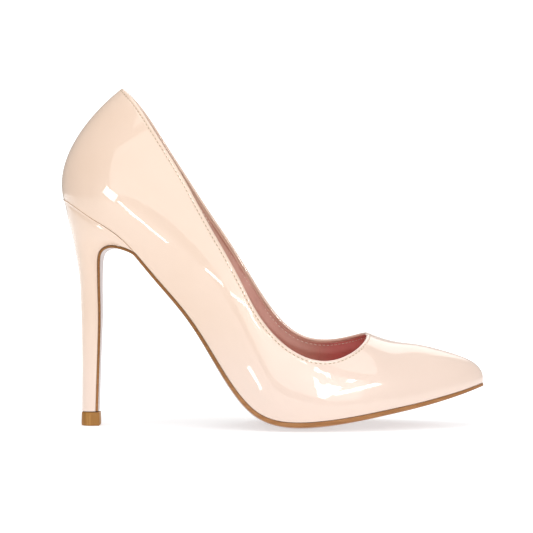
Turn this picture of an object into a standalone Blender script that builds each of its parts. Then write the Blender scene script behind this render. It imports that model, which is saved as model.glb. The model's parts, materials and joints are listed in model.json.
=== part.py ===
"""High heel pump, right shoe: patent upper, stiffeners, linings and insole on a breasted sole and heel.

The toe points to +X and the lateral side faces -Y. Lengths are in millimetres until a mesh is made.
"""
import functools
import math

import bmesh
import bpy
import numpy as np
from mathutils import Matrix, Vector
from mathutils.bvhtree import BVHTree

MM = 0.001
GAP = 0.35

# Stations run from the toe tip (0) to the back of the heel (16). The loop of the shoe's edge goes on
# from there along the medial side, back to the toe tip at 32.
HEEL = 16
AROUND = 2 * HEEL
THROAT = 5
# Feather edge, where the upper meets the sole: x, z, lateral and medial half width
FEATHER = (
    (102.5, 20.7, 0.0, 0.0),
    (99.7, 20.0, 5.2, 5.0),
    (92.1, 17.9, 11.6, 10.4),
    (81.1, 15.2, 18.0, 16.0),
    (68.1, 12.4, 24.4, 22.4),
    (54.1, 9.9, 30.2, 28.8),
    (39.1, 7.2, 34.0, 34.0),
    (23.1, 5.0, 35.8, 36.0),
    (7.1, 4.5, 35.2, 33.8),
    (-7.8, 9.3, 31.9, 27.6),
    (-21.9, 25.8, 26.8, 21.0),
    (-37.9, 51.0, 23.6, 18.2),
    (-54.9, 71.5, 23.2, 19.2),
    (-70.9, 89.6, 24.2, 22.0),
    (-84.9, 99.3, 22.3, 21.2),
    (-95.9, 106.6, 15.5, 15.0),
    (-101.9, 109.9, 0.0, 0.0),
)
# Crest of the vamp from the toe to the throat, and on up the open instep: x, z
RIDGE = (
    (95.1, 32.2), (88.6, 34.7), (79.1, 37.5), (69.1, 39.6), (57.6, 41.3), (46.2, 45.2),
    (38.0, 48.5), (29.0, 54.0), (19.0, 63.0), (9.5, 74.5), (1.5, 87.0),
)
# Topline from the station after the throat to the one before the back: lateral x, y, z, medial x, y, z
TOPLINE = (
    (42.6, -15.5, 40.0, 43.2, 15.0, 44.6),
    (27.1, -30.0, 33.0, 28.1, 28.5, 40.9),
    (8.1, -31.5, 38.6, 10.1, 29.0, 45.6),
    (-5.9, -30.0, 53.5, -3.4, 27.8, 60.8),
    (-14.4, -29.3, 69.0, -11.4, 26.5, 73.5),
    (-23.4, -28.3, 85.3, -21.2, 25.5, 89.2),
    (-32.4, -27.0, 101.0, -30.9, 24.5, 103.6),
    (-43.4, -25.0, 121.0, -41.9, 23.5, 120.6),
    (-55.9, -21.5, 141.0, -53.9, 20.5, 139.3),
    (-66.4, -13.5, 156.6, -65.4, 13.0, 156.4),
)
BACK_TOP = (-73.1, 0.0, 164.1)
# At each station, in degrees: how far the wall flares out at its foot, how far it leans in at its top
# (90 is level), and how far that lean is turned from sideways to forward
FLARE = (24, 22, 20, 18, 16, 14, 13, 12, 14, 18, 24, 30, 28, 22, 26, 35, 40)
LEAN = (90, 90, 90, 90, 90, 90, 62, 38, 22, 16, 14, 14, 14, 14, 15, 19, 25)
TURN = (0, 0, 0, 0, 0, 0, 0, 0, 0, 0, 0, 0, 0, 5, 18, 45, 90)
# The share of a section's length that it keeps its foot's and its top's directions for
FOOT_REACH, FOOT_REACH_BEHIND_BALL, TOP_REACH = 0.42, 0.33, 0.33
BALL = 8
# How far the vamp's sections are turned from along its crest, at the nose, to across it, in degrees
CROSSING = (0, 48, 70, 82, 88, 90, 90, 90, 90, 90, 90)
# The vamp's sections, cut off at the topline, turn into the quarters' sections between these stations
QUARTER_START, QUARTER_END = 6, 9
# How far the middle of the sole lies below its edges, and how thick the outsole is, at each station
CROWN = (0.2, 0.4, 0.7, 1.1, 1.5, 1.9, 2.3, 2.8, 2.7, 2.1, 1.6, 1.0, 0.4, 0.0, 0.0, 0.0, 0.0)
SOLE_THICKNESS = (1.3, 1.4, 1.6, 1.9, 2.1, 2.3, 2.4, 2.4, 2.3, 2.0, 1.7, 1.5, 1.4, 1.3, 1.3, 1.3, 1.3)

# The heel's front edge, which the sole's flap follows down (x, z, half width), and its back
# (x, z, widest half width), from just under the seat to the top lift
SEAT_START = 12.8
HEEL_LEVELS = (
    (-72.9, 87.3, 20.8, -100.9, 107.6, 22.8),
    (-78.4, 87.5, 16.6, -99.9, 102.6, 19.6),
    (-82.2, 85.7, 12.6, -98.6, 97.2, 15.8),
    (-84.0, 82.0, 10.2, -97.1, 91.0, 12.8),
    (-84.4, 76.0, 8.5, -95.5, 82.5, 10.2),
    (-84.4, 65.0, 7.0, -93.8, 71.0, 8.0),
    (-84.3, 50.0, 5.8, -93.0, 52.5, 6.4),
    (-85.0, 28.0, 4.9, -92.65, 28.6, 5.4),
    (-85.7, 6.9, 4.45, -92.7, 6.9, 4.9),
)
SEAT_LEVEL = 13
LAST_LEVEL = len(HEEL_LEVELS)
SEAT_LATERAL, SEAT_MEDIAL = 24.6, 23.0
FLAP_THICKNESS = 1.2
COVER_THICKNESS = 0.7
CORE_DEPTH = 1.6
CORE_TOP_LEVEL = 0.3

UPPER_THICKNESS = 1.2
STIFFENER_THICKNESS = 0.9
TAPE_THICKNESS = 0.4
LINING_THICKNESS = 0.8
STIFFENER_DEPTH = UPPER_THICKNESS + 1.5 * GAP
TAPE_DEPTH = STIFFENER_DEPTH + 0.45
LINING_DEPTH = STIFFENER_DEPTH + STIFFENER_THICKNESS + 1.5 * GAP
INNER_DEPTH = LINING_DEPTH + LINING_THICKNESS

# Heights of the bottom layers above the sole's upper face
MARGIN_LOW = 0.4
MARGIN_HIGH = 1.45
MARGIN_WIDTH = 8.5
INSOLE_LOW = 1.8
INSOLE_HIGH = 3.6
LINING_FOOT = 4.3
CUSHION_LOW = 5.4
CUSHION_HIGH = 7.0
SOCK_LOW = 7.3
SOCK_HIGH = 8.1

WALL_ROWS = 9
LINING_ROWS = 7
SOLE_STRIPS = 6
HEEL_COLUMNS = 6
EDGE_COLUMNS = 80
HEEL_ROWS = [0, 0.5, 1, 1.5, 2, 2.5, 3, 3.5, 4, 5, 6, 7, 8, LAST_LEVEL]

STITCH_INSET = 1.4
STITCH_RADIUS = 0.22
TAPE_INSET = 1.2
TAPE_WIDTH = 3.2
STIFFENER_INSET = TAPE_INSET + TAPE_WIDTH + 0.8
LINING_INSET = 1.0

# The top lift's outline: where its front and back are, and half its width at the front and at its widest
LIFT_FRONT, LIFT_BACK = -84.0, -92.75
LIFT_FRONT_WIDTH, LIFT_WIDTH = 4.6, 5.0
TUBE_X = -88.7
TUBE_RADIUS = 1.8
TUBE_BORE = 1.1
TUBE_TOP = 72.0
LIFT_TOP = 6.6
PIN_RADIUS = 0.8
PIN_FOOT = 2.9
PIN_TOP = 20.0
FASTENER_CLEARANCE = 0.3
# Heel nails: station, distance from the middle, depth below the insole's underside
NAILS = ((13.4, -10.5, 6.5), (13.4, 10.5, 6.5), (14.35, -8.6, 8.0), (14.35, 8.6, 8.0))

PATENT = ("patent", (0.93, 0.78, 0.66), 0.12, 0.0)
LINING = ("lining", (0.45, 0.26, 0.20), 0.6, 0.0)
SUEDE = ("suede", (0.50, 0.33, 0.26), 0.9, 0.0)
STIFFENER = ("stiffener", (0.72, 0.66, 0.55), 0.8, 0.0)
TAPE = ("tape", (0.85, 0.83, 0.78), 0.8, 0.0)
THREAD = ("thread", (0.70, 0.55, 0.38), 0.7, 0.0)
BOARD = ("board", (0.50, 0.38, 0.26), 0.85, 0.0)
FOAM = ("foam", (0.85, 0.82, 0.70), 0.9, 0.0)
STEEL = ("steel", (0.60, 0.60, 0.62), 0.35, 1.0)
SOLE = ("sole", (0.46, 0.28, 0.16), 0.45, 0.0)
HEEL_PLASTIC = ("heel_plastic", (0.90, 0.88, 0.84), 0.4, 0.0)
LIFT = ("top_lift", (0.50, 0.27, 0.11), 0.5, 0.0)


def vec(*numbers):
    return np.array(numbers, dtype=float)


def unit(vector):
    return vector / np.linalg.norm(vector)


@functools.lru_cache(None)
def spline_controls(points, closed):
    """The controls of the cubic B-spline that passes each of the points at a whole number."""
    count = len(points)
    weights = np.zeros((count, count))
    for row in range(count):
        if closed or 0 < row < count - 1:
            weights[row, row] = 4 / 6
            weights[row, (row - 1) % count] += 1 / 6
            weights[row, (row + 1) % count] += 1 / 6
        else:
            weights[row, row] = 1
    return np.linalg.solve(weights, np.array(points, dtype=float))


def smooth(points, place, closed=False):
    """The point at a place along the smooth curve that passes each of the points at a whole number."""
    controls = spline_controls(points, closed)
    count = len(controls)

    def control(index):
        if closed:
            return controls[index % count]
        if index < 0:
            return 2 * controls[0] - controls[-index]
        if index >= count:
            return 2 * controls[-1] - controls[2 * count - 2 - index]
        return controls[index]

    start = math.floor(place)
    if not closed:
        start = min(max(start, 0), count - 2)
    t = place - start
    weights = ((1 - t) ** 3, 3 * t**3 - 6 * t**2 + 4, 3 * t + 3 * t**2 - 3 * t**3 + 1, t**3)
    return sum(weight * control(start + step - 1) for step, weight in enumerate(weights)) / 6


def keyed(values, place):
    """A value given at each station, read between them."""
    return float(smooth(tuple((value,) for value in values), place)[0])


def station_of(u):
    return min(u % AROUND, AROUND - u % AROUND)


def side_of(u):
    return -1 if u % AROUND <= HEEL else 1


CENTRE_LINE = tuple((x, z) for x, z, lateral, medial in FEATHER)
FEATHER_LOOP = (
    *((x, -lateral, z) for x, z, lateral, medial in FEATHER),
    *((x, medial, z) for x, z, lateral, medial in FEATHER[-2:0:-1]),
)
TOPLINE_LOOP = (
    (RIDGE[THROAT][0], 0.0, RIDGE[THROAT][1]),
    *(row[:3] for row in TOPLINE),
    BACK_TOP,
    *(row[3:] for row in reversed(TOPLINE)),
)


def feather(u):
    return smooth(FEATHER_LOOP, u, closed=True)


def bottom_normal(s):
    """The direction straight up from the insole at a station."""
    step = 0.05
    ahead = smooth(CENTRE_LINE, max(s - step, 0))
    behind = smooth(CENTRE_LINE, min(s + step, HEEL))
    run, rise = ahead - behind
    return unit(vec(-rise, 0, run))


def bottom(s, across, height):
    """A point of the bottom at a station: across goes from -1, the lateral edge, to 1, the medial one."""
    lateral = feather(s)
    medial = feather(AROUND - s)
    share = (across + 1) / 2
    sag = max(keyed(CROWN, s), 0) * (1 - across * across)
    return lateral + (medial - lateral) * share + bottom_normal(s) * (height - sag)


def half_width(s):
    return float(np.linalg.norm(feather(AROUND - s) - feather(s))) / 2


def topline(u):
    return smooth(TOPLINE_LOOP, u % AROUND - THROAT, closed=True)


def ridge(s):
    x, z = smooth(RIDGE, s)
    return vec(x, 0, z)


def ridge_direction(s):
    step = 0.02
    return unit(ridge(s + step) - ridge(max(s - step, 0)))


def outward(u):
    """Sideways out of the shoe at the feather edge."""
    step = 0.02
    along = unit(feather(u + step) - feather(u - step))
    return unit(np.cross(bottom_normal(station_of(u)), along))


def bezier(handles, t):
    a, b, c, d = handles
    rest = 1 - t
    return a * rest**3 + b * 3 * rest * rest * t + c * 3 * rest * t * t + d * t**3


@functools.lru_cache(None)
def foot_of_wall(u):
    """Where the wall starts at the feather edge, the direction it starts in, and its handle's share."""
    s = station_of(u)
    up = bottom_normal(s)
    flare = math.radians(keyed(FLARE, s))
    start = up * math.cos(flare) + outward(u) * math.sin(flare)
    reach = FOOT_REACH + (FOOT_REACH_BEHIND_BALL - FOOT_REACH) * min(s / BALL, 1)
    return feather(u) + up * MARGIN_LOW, start, reach


@functools.lru_cache(None)
def vamp_handles(u):
    """The section of the vamp at u, from the feather edge to the crest."""
    s = station_of(u)
    foot, start, reach = foot_of_wall(u)
    top = ridge(s)
    crossing = math.radians(keyed(CROSSING, s))
    arrival = ridge_direction(s) * math.cos(crossing) - vec(0, side_of(u), 0) * math.sin(crossing)
    length = np.linalg.norm(top - foot)
    return foot, foot + start * length * reach, top - arrival * length * TOP_REACH, top


@functools.lru_cache(None)
def quarter_handles(u):
    """The section of the quarter at u, from the feather edge to the topline."""
    s = station_of(u)
    foot, start, reach = foot_of_wall(u)
    top = topline(u)
    rise = unit((top - foot) * vec(1, 0, 1))
    lean = math.radians(keyed(LEAN, s))
    turn = math.radians(keyed(TURN, s))
    inward = vec(math.sin(turn), -side_of(u) * math.cos(turn), 0)
    inward = unit(inward - rise * np.dot(inward, rise))
    arrival = rise * math.cos(lean) + inward * math.sin(lean)
    length = np.linalg.norm(top - foot)
    return foot, foot + start * length * reach, top - arrival * length * TOP_REACH, top


def bisect(inside, low, high):
    """The place between low and high where inside(place) turns from true to false."""
    for _ in range(18):
        middle = (low + high) / 2
        if inside(middle):
            low = middle
        else:
            high = middle
    return low


def side_view_of_topline(side):
    places = np.linspace(THROAT, QUARTER_END + 1, 200)
    points = [topline(u if side < 0 else AROUND - u) for u in places]
    return np.array([(point[0], point[2]) for point in reversed(points)])


THROAT_SIDE = {side: side_view_of_topline(side) for side in (-1, 1)}


@functools.lru_cache(None)
def cut_off(u):
    """How far along the vamp's section at u the topline cuts it."""
    s = station_of(u)
    if s <= THROAT:
        return 1.0
    line = THROAT_SIDE[side_of(u)]
    handles = vamp_handles(u)

    def under_topline(t):
        point = bezier(handles, t)
        return point[0] > line[-1, 0] or point[2] < np.interp(point[0], line[:, 0], line[:, 1])

    return bisect(under_topline, 0.2, 1)


def wall(u, v):
    """A point of the upper's outer face, from 0 at the feather edge to 1 at the topline or the crest."""
    share = (station_of(u) - QUARTER_START) / (QUARTER_END - QUARTER_START)
    share = min(max(share, 0), 1)
    share = share * share * (3 - 2 * share)
    point = vec(0, 0, 0)
    if share < 1:
        point += bezier(vamp_handles(u), v * cut_off(u)) * (1 - share)
    if share > 0:
        point += bezier(quarter_handles(u), v) * share
    return point


def wall_normal(u, v):
    """The wall's outward direction, read a little way in from its rims."""
    s = station_of(u)
    step = 0.04
    if s <= QUARTER_START:
        t = v * cut_off(u)
        if t > 0.999:
            return unit(np.cross(vec(0, 1, 0), ridge_direction(s)))
        middle = min(max(t, step), 0.98 - step)
        up_wall = bezier(vamp_handles(u), middle + step) - bezier(vamp_handles(u), middle - step)
        along = bezier(vamp_handles(u + step), middle) - bezier(vamp_handles(u - step), middle)
    else:
        middle = min(max(v, step), 1 - step)
        up_wall = wall(u, middle + step) - wall(u, middle - step)
        along = wall(u + step, middle) - wall(u - step, middle)
    return unit(np.cross(up_wall, along))


def wall_length(u):
    points = [wall(u, v) for v in np.linspace(0, 1, 9)]
    return float(sum(np.linalg.norm(b - a) for a, b in zip(points, points[1:])))


def edge_of_opening():
    """The topline as it lies on the wall, as close points from the throat round and back to it."""
    half = [THROAT + (HEEL - THROAT) * share**2 for share in np.linspace(0, 1, 300)]
    return np.array([wall(u, 1) for u in half + [AROUND - u for u in reversed(half[:-1])]])


EDGE = edge_of_opening()
EDGE_LENGTHS = np.concatenate([[0], np.cumsum(np.linalg.norm(np.diff(EDGE, axis=0), axis=1))])


def edge_point(share):
    """The point at a share of the way round the opening."""
    place = share % 1 * EDGE_LENGTHS[-1]
    return vec(*(np.interp(place, EDGE_LENGTHS, EDGE[:, axis]) for axis in range(3)))


def topline_distance(point):
    return float(np.min(np.linalg.norm(EDGE - point, axis=1)))


def ridge_end(inset):
    """The station where a layer that stays an inset away from the topline leaves the ridge."""
    return bisect(lambda s: topline_distance(ridge(s)) > inset, 2, THROAT)


def trimmed_top(u, inset):
    """How far up the wall at u such a layer goes."""
    if inset == 0 or station_of(u) <= ridge_end(inset):
        return 1.0
    return bisect(lambda v: topline_distance(wall(u, v)) > inset, 0.4, 1)


def make_wall_tree():
    """The outer face of the wall as a search tree, for pieces that follow the topline at a distance."""
    rows = 24
    extra = [THROAT + (share / 8) ** 2 for share in range(1, 8)]
    sixths = [step / 6 for step in range(AROUND * 6)]
    columns = sorted({*sixths, *extra, *(AROUND - u for u in extra)})
    points = []
    for u in columns:
        points += [tuple(wall(u, row / rows)) for row in range(rows + 1)]
    count = len(columns)
    faces = []
    for column in range(count):
        here, after = column * (rows + 1), (column + 1) % count * (rows + 1)
        faces += [(here + row, here + row + 1, after + row + 1, after + row) for row in range(rows)]
    return BVHTree.FromPolygons(points, faces)


def below_edge(tree, share, inset):
    """The point of the outer face an inset below the opening's edge, and the face's normal there."""
    step = 0.002
    edge = edge_point(share)
    along = unit(edge_point(share + step) - edge_point(share - step))
    on_edge, normal, index, distance = tree.find_nearest(Vector(tuple(edge)))
    down = unit(np.cross(unit(vec(*normal)), along))
    place, normal, index, distance = tree.find_nearest(Vector(tuple(edge + down * inset)))
    return vec(*place), unit(vec(*normal))


def material(name, colour, roughness, metallic):
    made = bpy.data.materials.get(name)
    if made:
        return made
    made = bpy.data.materials.new(name)
    made.use_nodes = True
    shader = made.node_tree.nodes["Principled BSDF"]
    shader.inputs["Base Color"].default_value = (*colour, 1)
    shader.inputs["Roughness"].default_value = roughness
    shader.inputs["Metallic"].default_value = metallic
    made.diffuse_color = (*colour, 1)
    return made


def finish(thing, look):
    thing.data.materials.clear()
    thing.data.materials.append(material(*look))
    thing.data.shade_smooth()
    thing.data.set_sharp_from_angle(angle=math.radians(40))
    return thing


def mesh_object(name, points, faces, look):
    mesh = bpy.data.meshes.new(name)
    mesh.from_pydata([tuple(point * MM) for point in points], [], faces)
    work = bmesh.new()
    work.from_mesh(mesh)
    bmesh.ops.recalc_face_normals(work, faces=work.faces)
    if work.calc_volume(signed=True) < 0:
        bmesh.ops.reverse_faces(work, faces=work.faces)
    work.to_mesh(mesh)
    work.free()
    thing = bpy.data.objects.new(name, mesh)
    parts.objects.link(thing)
    return finish(thing, look)


def indexed(faces):
    """The keys of some faces, each once, and the faces as lists of the keys' numbers."""
    place = {}
    loops = [[place.setdefault(key, len(place)) for key in face] for face in faces]
    return list(place), loops


def thick_sheet(name, faces, outer, inner, look):
    """Closes a sheet of faces, each a loop of keys, between the surfaces outer(key) and inner(key)."""
    keys, loops = indexed(faces)
    count = len(keys)
    edges = {(a, b) for loop in loops for a, b in zip(loop, loop[1:] + loop[:1])}
    rims = [(a, b) for a, b in edges if (b, a) not in edges]
    shut = [(b, a, a + count, b + count) for a, b in sorted(rims)]
    back = [[index + count for index in reversed(loop)] for loop in loops]
    points = [outer(key) for key in keys] + [inner(key) for key in keys]
    return mesh_object(name, points, loops + back + shut, look)


def without_repeats(keys):
    return [key for index, key in enumerate(keys) if key != keys[index - 1]]


def grid_faces(columns, rows, key, closed=False):
    """The faces between neighbouring columns and rows. Corners that share a key make a triangle."""
    pairs = list(zip(columns, columns[1:]))
    if closed:
        pairs.append((columns[-1], columns[0]))
    faces = []
    for a, b in pairs:
        for low, high in zip(rows, rows[1:]):
            face = without_repeats([key(a, low), key(b, low), key(b, high), key(a, high)])
            if len(face) > 2:
                faces.append(face)
    return faces


def eased(share):
    """Rows crowd together at the foot and at the top of the wall, where it bends most."""
    return share - 0.08 * math.sin(2 * math.pi * share)


def columns_between(start, end, extra=()):
    """Columns from start to end: half stations, quarters beside the throat, both ends and any extra ones."""
    fixed = {round(u, 4) for u in (start, end, *extra) if start <= u <= end}
    quarters = [step / 4 for step in range(math.ceil(start * 4), math.floor(end * 4) + 1)]
    regular = [u for u in quarters if u * 2 == int(u * 2) or THROAT - 0.5 < station_of(u) < THROAT + 2]
    clear = {u for u in regular if all(abs(u - other) > 0.06 for other in fixed)}
    return sorted(fixed | clear)


def wall_layer(name, spans, depth, thickness, inset, look):
    """A layer of the wall under the upper, over spans of the edge loop, that stops short of the topline."""
    leave = round(ridge_end(inset), 4)
    rows = range(LINING_ROWS + 1)

    def key(u, row):
        s = round(station_of(u), 4)
        if row == LINING_ROWS and s <= leave:
            return ("ridge", s)
        return (round(u % AROUND, 4), row)

    def place(one, below):
        if one[0] == "ridge":
            return ridge(one[1]) - wall_normal(one[1], 1.0) * below
        u, row = one
        low = LINING_FOOT / wall_length(u)
        v = low + (trimmed_top(u, inset) - low) * eased(row / LINING_ROWS)
        return wall(u, v) - wall_normal(u, v) * below

    faces = []
    for start, end in spans:
        corners = [leave, leave + 0.08, leave + 0.2, leave + 0.35]
        corners += [AROUND - u for u in corners] + [AROUND + u for u in corners]
        columns = columns_between(start, end, corners)
        faces += grid_faces(columns, rows, key)
    return thick_sheet(
        name, faces, lambda one: place(one, depth), lambda one: place(one, depth + thickness), look
    )


def margin_point(u, share, height):
    """The lasting margin under the insole: share goes from 0 at its free edge to 1 at the feather edge."""
    s = station_of(u)
    toe_turn, heel_turn, least_spread = 1.3, 0.9, 0.3
    if s < HEEL / 2:
        inner_s = math.hypot(s, toe_turn)
        spread = s / inner_s
    else:
        inner_s = HEEL - math.hypot(HEEL - s, heel_turn)
        spread = (HEEL - s) / (HEEL - inner_s)
    free = max(1 - MARGIN_WIDTH / half_width(inner_s), least_spread) * spread
    edge = bottom(s, side_of(u), height)
    inner = bottom(inner_s, side_of(u) * free, height)
    return inner + (edge - inner) * share


def make_upper():
    """Patent upper: the wall and the margin that is turned under the insole, in one piece."""
    rows = ["free", "half"] + list(range(WALL_ROWS + 1))

    def key(u, row):
        s = round(station_of(u), 4)
        if row == WALL_ROWS and s <= THROAT:
            return ("ridge", s)
        return (round(u % AROUND, 4), row)

    def place(one, depth):
        u, row = one
        if u == "ridge":
            return ridge(row) - wall_normal(row, 1.0) * depth
        if row == "free" or row == "half":
            height = MARGIN_HIGH if depth else MARGIN_LOW
            return margin_point(u, 0.0 if row == "free" else 0.5, height)
        v = eased(row / WALL_ROWS)
        if row == 0 and depth:
            up = bottom_normal(station_of(u))
            return wall(u, 0) - outward(u) * depth + up * (MARGIN_HIGH - MARGIN_LOW)
        return wall(u, v) - wall_normal(u, v) * depth

    corners = [THROAT + step for step in (0.04, 0.13)]
    columns = columns_between(0, AROUND, corners + [AROUND - u for u in corners])[:-1]
    faces = grid_faces(columns, rows, key, closed=True)
    thick_sheet("upper", faces, lambda one: place(one, 0), lambda one: place(one, UPPER_THICKNESS), PATENT)


def make_wall_layers():
    """Stiffeners in the middle layer and the lining in the inner one, with a gap at each join."""
    puff_end, counter_start = 3.4, 13.0
    vamp_end, grip_start = 7.0, 14.2
    gap = 0.02
    stiffeners = (STIFFENER_DEPTH, STIFFENER_THICKNESS, STIFFENER_INSET, STIFFENER)
    wall_layer("toe_puff", [(AROUND - puff_end + gap, AROUND + puff_end - gap)], *stiffeners)
    wall_layer(
        "interlining",
        [(puff_end, counter_start - gap), (AROUND - counter_start + gap, AROUND - puff_end)],
        *stiffeners,
    )
    wall_layer("heel_counter", [(counter_start, AROUND - counter_start)], *stiffeners)
    linings = (LINING_DEPTH, LINING_THICKNESS, LINING_INSET)
    wall_layer("vamp_lining", [(AROUND - vamp_end + gap, AROUND + vamp_end - gap)], *linings, LINING)
    wall_layer("quarter_lining_lateral", [(vamp_end, grip_start - gap)], *linings, LINING)
    wall_layer("quarter_lining_medial", [(AROUND - grip_start + gap, AROUND - vamp_end)], *linings, LINING)
    wall_layer("heel_grip", [(grip_start, AROUND - grip_start)], *linings, SUEDE)


def edge_shares():
    """Places round the opening, closest together at the throat and at the back, where it turns most."""
    crowding = 0.6
    even = [step / EDGE_COLUMNS for step in range(EDGE_COLUMNS)]
    return [share - crowding * math.sin(4 * math.pi * share) / (4 * math.pi) for share in even]


def make_topline_tape(tree):
    """Tape that keeps the folded edge from stretching, just under the topline in the stiffeners' layer."""
    def place(one, depth):
        share, row = one
        point, normal = below_edge(tree, share, TAPE_INSET + TAPE_WIDTH * row)
        return point - normal * depth

    faces = grid_faces(edge_shares(), (1, 0), lambda share, row: (share, row), closed=True)
    thick_sheet(
        "topline_tape",
        faces,
        lambda one: place(one, TAPE_DEPTH),
        lambda one: place(one, TAPE_DEPTH + TAPE_THICKNESS),
        TAPE,
    )


def make_topline_stitching(tree):
    """The thread that closes upper and lining along the topline, as one line round the opening."""
    curve = bpy.data.curves.new("topline_stitching", "CURVE")
    curve.dimensions = "3D"
    curve.bevel_depth = STITCH_RADIUS * MM
    curve.bevel_resolution = 2
    places = edge_shares()
    line = curve.splines.new("POLY")
    line.points.add(len(places) - 1)
    line.use_cyclic_u = True
    for spot, share in zip(line.points, places):
        point, normal = below_edge(tree, share, STITCH_INSET)
        spot.co = (*(point + normal * (STITCH_RADIUS + GAP)) * MM, 1)
    thing = bpy.data.objects.new("topline_stitching", curve)
    parts.objects.link(thing)
    curve.materials.append(material(*THREAD))


def plate(name, start, end, inset, low, high, look, strips=4, widest=1000.0):
    """A layer of the bottom between two stations, inset from the feather edge and no wider than asked."""
    rows = columns_between(start, end)

    def place(one, height):
        s, step = one
        reach = half_width(s)
        share = min(reach - inset, widest) / reach
        return bottom(s, (2 * step / strips - 1) * share, height)

    faces = grid_faces(rows, range(strips + 1), lambda s, step: (s, step))
    return thick_sheet(name, faces, lambda one: place(one, low), lambda one: place(one, high), look)


def make_bottom_layers():
    """Filler and shank between the margins, the insole's two boards, and the padded sock on them."""
    board_join, board_gap = 9.0, 0.01
    board_inset = UPPER_THICKNESS + 1.2
    sock_inset = INNER_DEPTH + 1.3
    sock_toe, sock_heel = 2.0, 15.2
    shank_half_width = 5.5
    plate("forepart_filler", 3.0, 8.5, MARGIN_WIDTH + 3.0, MARGIN_LOW, MARGIN_HIGH, FOAM)
    plate("steel_shank", 9.0, 14.5, 0, MARGIN_LOW + 0.1, MARGIN_HIGH, STEEL, 3, shank_half_width)
    plate("insole_board", 1.0, board_join - board_gap, board_inset, INSOLE_LOW, INSOLE_HIGH, BOARD)
    plate("tuck_board", board_join, 15.2, board_inset, INSOLE_LOW, INSOLE_HIGH, BOARD, 5)
    plate("sock_cushion", sock_toe, sock_heel, sock_inset, CUSHION_LOW, CUSHION_HIGH, FOAM)
    plate("sock_lining", sock_toe, sock_heel, sock_inset, SOCK_LOW, SOCK_HIGH, LINING)


def feather_row(s):
    lateral, medial = feather(s), feather(AROUND - s)
    return (float(lateral[0]), float(lateral[2]), float(-lateral[1]), float(medial[1]))


FLAP = (
    feather_row(SEAT_START - 0.25),
    feather_row(SEAT_START),
    *((x, z, wide, wide) for x, z, wide, *back in HEEL_LEVELS),
)


def sole_edge(q):
    """The sole's upper edge: x, z, lateral and medial half width. Past the seat it goes down the heel."""
    if q <= SEAT_START:
        return vec(*feather_row(q))
    return smooth(FLAP, q - SEAT_LEVEL + 1)


def sole_normal(q):
    step = 0.05
    ahead = sole_edge(max(q - step, 0))
    behind = sole_edge(min(q + step, SEAT_LEVEL + LAST_LEVEL))
    run, rise = (ahead - behind)[:2]
    return unit(vec(-rise, 0, run))


def sole_point(q, across, lower):
    """A point of the outsole's upper face, or of its lower one, which is never below 0."""
    x, z, lateral, medial = sole_edge(q)
    past_waist = min(max(q - (SEAT_LEVEL - 1), 0), 1)
    crown = max(keyed(CROWN, min(q, HEEL)), 0) * (1 - across * across)
    drop = crown + GAP * past_waist
    if lower:
        drop += keyed(SOLE_THICKNESS, q) if q < SEAT_LEVEL else FLAP_THICKNESS
    y = (medial if across > 0 else lateral) * across
    point = vec(x, y, z) - sole_normal(q) * drop
    point[2] = max(point[2], 0)
    return point


def make_outsole():
    """Outsole with its flap, which turns down over the front of the heel."""
    tip = 0.12
    rows = [tip] + [step / 2 for step in range(1, 2 * SEAT_LEVEL)]
    rows += [SEAT_LEVEL + level for level in HEEL_ROWS]

    def place(one, lower):
        q, step = one
        return sole_point(q, 2 * step / SOLE_STRIPS - 1, lower)

    faces = grid_faces(rows, range(SOLE_STRIPS + 1), lambda q, step: (q, step))
    thick_sheet("outsole", faces, lambda one: place(one, True), lambda one: place(one, False), SOLE)


HEEL_BACKS = {
    side: ((*CENTRE_LINE[-1], seat_width), *(row[3:] for row in HEEL_LEVELS))
    for side, seat_width in ((-1, SEAT_LATERAL), (1, SEAT_MEDIAL))
}


def heel_point(side, share, level):
    """The heel's outer face: share is 0 at its front edge and 1 at its back, level is 0 at the seat."""
    front_x, front_z, lateral, medial = sole_edge(SEAT_LEVEL + level)
    front_width = lateral if side < 0 else medial
    back_x, back_z, wide = smooth(HEEL_BACKS[side], level)
    wide = max(wide, front_width * 1.001)
    opening = math.acos(front_width / wide)
    angle = -opening + (math.pi / 2 + opening) * share
    depth = (math.sin(angle) + math.sin(opening)) / (1 + math.sin(opening))
    x = front_x + (back_x - front_x) * depth
    z = front_z + (back_z - front_z) * depth
    return vec(x, side * wide * math.cos(angle), z)


def heel_skin(side, share, level):
    """The heel's outer face, which starts at the seat exactly on the feather edge."""
    point = heel_point(side, share, level)
    if level < 1:
        s = SEAT_START + (HEEL - SEAT_START) * share
        on_feather = feather(s if side < 0 else AROUND - s)
        point = point + (on_feather - heel_point(side, share, 0)) * (1 - level) ** 2
    return point


def heel_layer(side, share, level, depth):
    """A point that lies a depth inside the heel's outer face, at the same level."""
    point = heel_skin(side, share, level)
    if depth == 0:
        return point
    step = 0.02
    along = heel_skin(side, min(share + step, 1), level) - heel_skin(side, max(share - step, 0), level)
    if share == 1:
        along = vec(0, -side, 0)
    slope = heel_skin(side, 1, level) - heel_skin(side, 0, level)
    flat = unit(np.cross(slope * vec(1, 0, 1), vec(0, 1, 0)))
    inward = unit(np.cross(along, flat)) * depth
    centre = (heel_skin(-1, 0.5, level) + heel_skin(1, 0.5, level)) / 2
    if np.dot(inward, centre - point) < 0:
        inward = -inward
    return point + inward


def heel_columns():
    """Columns round the heel from its lateral front edge, by the back, to its medial front edge."""
    shares = [step / HEEL_COLUMNS for step in range(HEEL_COLUMNS + 1)]
    return [(-1, share) for share in shares] + [(1, share) for share in reversed(shares[:-1])]


def make_heel_cover():
    """Patent cover, wrapped round the heel's sides and back."""
    faces = grid_faces(heel_columns(), HEEL_ROWS, lambda column, level: (*column, level))
    thick_sheet(
        "heel_cover",
        faces,
        lambda one: heel_layer(*one, 0.0),
        lambda one: heel_layer(*one, COVER_THICKNESS),
        PATENT,
    )


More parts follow.
